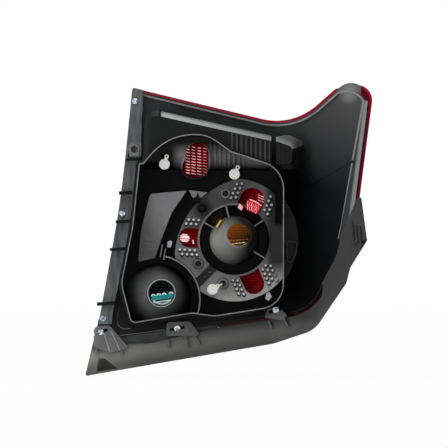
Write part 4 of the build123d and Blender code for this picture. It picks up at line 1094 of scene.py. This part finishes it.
boss_rings.bead("ring_reflector", lower_stud, width=3.0, height=0.9, pick=1)
boss_rings.build("boss_rings", "reflector_grey", boss_dark, rib_painted_highlight)

# Seam of the dome, left and right of its collar
SEAM_STARTS_X = (-125.8, -80.0)
SEAM_Z = -72.7
dome_seam = Strips()
for start in SEAM_STARTS_X:
    seam = run_points(start, SEAM_Z, step_x=1.5, step_z=0, count=7)
    dome_seam.bead("reverse_reflector", seam, width=0.8, height=0.3)
dome_seam.build("dome_seam", "reflector_black", black_and_deep_shade)

# Tail optics: painted highlights on columns of short prisms that grow longer down the window, the last
# column dimmer
TAIL_COLUMNS = ((-63.4, 0), (-56.4, 0), (-49.2, 0), (-42.2, 1))
TAIL_ROWS = 10
TAIL_TOP_Z = 111.0
TAIL_PITCH = 3.7
TAIL_FALL = 0.12
TAIL_TILT = -0.2
TAIL_HALF = 1.9
TAIL_GROWTH = 0.7
TAIL_GROWN_ROW = 5
tail_optics = Strips()
for row in range(TAIL_ROWS):
    half = TAIL_HALF + TAIL_GROWTH * min(row / TAIL_GROWN_ROW, 1.0)
    for x, pick in TAIL_COLUMNS:
        z = TAIL_TOP_Z - TAIL_PITCH * row - TAIL_FALL * (x - TAIL_COLUMNS[0][0])
        bar = bar_points(x, z, half, rise=TAIL_TILT * half)
        tail_optics.ridge(bar, width=0.9, levels=TAIL_Y, pick=pick)
tail_optics.build("tail_optics", "lens_red", pink_white, pink)

# Stop optics in the upper window, all painted highlights: a bright block with wavy streaks and a lit edge, a
# facet and lines
STOP_BLOCK = ((10.5, 31.5), (22.5, 26.0), (29.5, 36.5), (24.0, 42.0), (13.5, 45.5), (8.5, 36.0))
STOP_FACET = ((-1.0, 34.0), (4.0, 30.5), (6.0, 35.5), (1.5, 39.5))
STREAK_FEET = (32.4, 31.0, 29.8, 28.6, 27.6, 31.0)
STREAK_X = 11.6
STREAK_TOP_Z = 42.6
STREAK_PITCH = 2.6
STREAK_FALL = 1.2
STREAK_STEPS = 6
WAVE_HALF = 0.6
WAVE_TURN = 2.1
BLOCK_EDGE = ((14.0, 44.6), (22.0, 41.4), (28.6, 36.8))
LINES = 3
LINE_X = (24.5, 32.0)
LINE_TOP_Z = 50.5
LINE_PITCH = 3.2
LINE_FALL = 3.0
stop_optics = Strips()
stop_optics.slab(STOP_BLOCK, STOP_BLOCK_Y, pick=2)
stop_optics.slab(STOP_FACET, STOP_FACET_Y, pick=1)
for streak, foot in enumerate(STREAK_FEET):
    x = STREAK_X + STREAK_PITCH * streak
    top = STREAK_TOP_Z - STREAK_FALL * streak
    wave = []
    for step in range(STREAK_STEPS + 1):
        aside = WAVE_HALF * math.sin(WAVE_TURN * step + streak)
        wave.append((x + aside, top + (foot - top) * step / STREAK_STEPS))
    stop_optics.ridge(wave, width=1.0, levels=STREAK_Y, pick=streak % 2)
stop_optics.ridge(BLOCK_EDGE, width=1.3, levels=BLOCK_EDGE_Y)
for line in range(LINES):
    z = LINE_TOP_Z - LINE_PITCH * line
    stop_optics.ridge(((LINE_X[0], z), (LINE_X[1], z - LINE_FALL)), width=0.9, levels=STOP_LINE_Y)

# Stop optics in the inboard window: a bright patch of five rows, and a short bar, both painted highlights
PATCH_X = -67.5
PATCH_TOP_Z = 0.4
PATCH_PITCH = 2.1
PATCH_HALVES = (3.6, 5.6, 6.2, 5.6, 3.8)
PATCH_RISE = -0.4
SHORT_BAR = ((-57.2, -6.4), (-56.4, -11.2))
for row, half in enumerate(PATCH_HALVES):
    z = PATCH_TOP_Z - PATCH_PITCH * row
    bar = bar_points(PATCH_X, z, half, rise=PATCH_RISE)
    stop_optics.ridge(bar, width=1.9, levels=STOP_ROW_Y)
stop_optics.ridge(SHORT_BAR, width=2.2, levels=STOP_ROW_Y)
stop_optics.build("stop_optics", "lens_red", pink_white, pink, bright_red)

# Turn optics, painted highlights: a dim row, a bright row, and the lit edge of the hole
DIM_BARS = 6
DIM_X = -10.0
DIM_PITCH = 4.1
DIM_Z = -6.4
DIM_RISE = 0.1
BRIGHT_BARS = 4
BRIGHT_X = -6.5
BRIGHT_PITCH = 4.3
BRIGHT_Z = -10.4
BRIGHT_RISE = 0.14
turn_optics = Strips()
for step in range(DIM_BARS):
    x = DIM_X + DIM_PITCH * step
    bar = bar_points(x, DIM_Z + DIM_RISE * x, half=1.4, rise=0.1)
    turn_optics.ridge(bar, width=1.2, levels=TURN_DIM_Y)
for step in range(BRIGHT_BARS):
    x = BRIGHT_X + BRIGHT_PITCH * step
    bar = bar_points(x, BRIGHT_Z + BRIGHT_RISE * x, half=1.8, rise=0.2)
    turn_optics.ridge(bar, width=1.4, levels=TURN_BRIGHT_Y, pick=1)
hole_edge = arc_points(*TURN, radius=14.1, start=200, end=318, steps=16)
turn_optics.ridge(hole_edge, width=0.9, levels=TURN_EDGE_Y)
turn_optics.build("turn_optics", "lens_amber", gold, gold_white)

# Reversing optics, painted highlights: a band of three lines with scallops on it, a white line, and the lit
# bottom of the lens
BAND_LINES = 3
BAND_LEFT_X = -109.5
BAND_RIGHT_X = -81.5
BAND_Z = -81.4
BAND_PITCH = 2.0
BAND_RISE = 3.6
SCALLOPS_X = (-106.9, -100.0, -93.2, -84.6)
SCALLOP_Z = -77.8
SCALLOP_TILT = 0.13
WHITE_LINE = ((-107.0, -85.0), (-84.5, -81.6))
reverse_optics = Strips()
for step in range(BAND_LINES):
    z = BAND_Z + BAND_PITCH * step
    reverse_optics.ridge(((BAND_LEFT_X, z), (BAND_RIGHT_X, z + BAND_RISE)), width=1.6, levels=REVERSE_Y)
for x in SCALLOPS_X:
    z = SCALLOP_Z + SCALLOP_TILT * (x - BAND_LEFT_X)
    scallop = arc_points(x, z, radius=2.6, start=20, end=160, steps=6)
    reverse_optics.ridge(scallop, width=1.3, levels=SCALLOP_Y, pick=1)
reverse_optics.ridge(WHITE_LINE, width=0.9, levels=REVERSE_Y, pick=1)
bottom = arc_points(*REVERSE, radius=14.2, start=222, end=318, steps=14)
reverse_optics.ridge(bottom, width=2.6, levels=REVERSE_Y, pick=2)
reverse_optics.build("reverse_optics", "lens_clear", turquoise, clear_white, pale_green)

make_world()
make_floor()
make_camera()
make_light("top_soft", place=(-0.15, -0.45, 1.1), size=1.0, power=11.0)
make_light("left_low", place=(-0.9, -1.0, -0.15), size=0.8, power=9.0)
bpy.context.scene.view_settings.view_transform = "Standard"
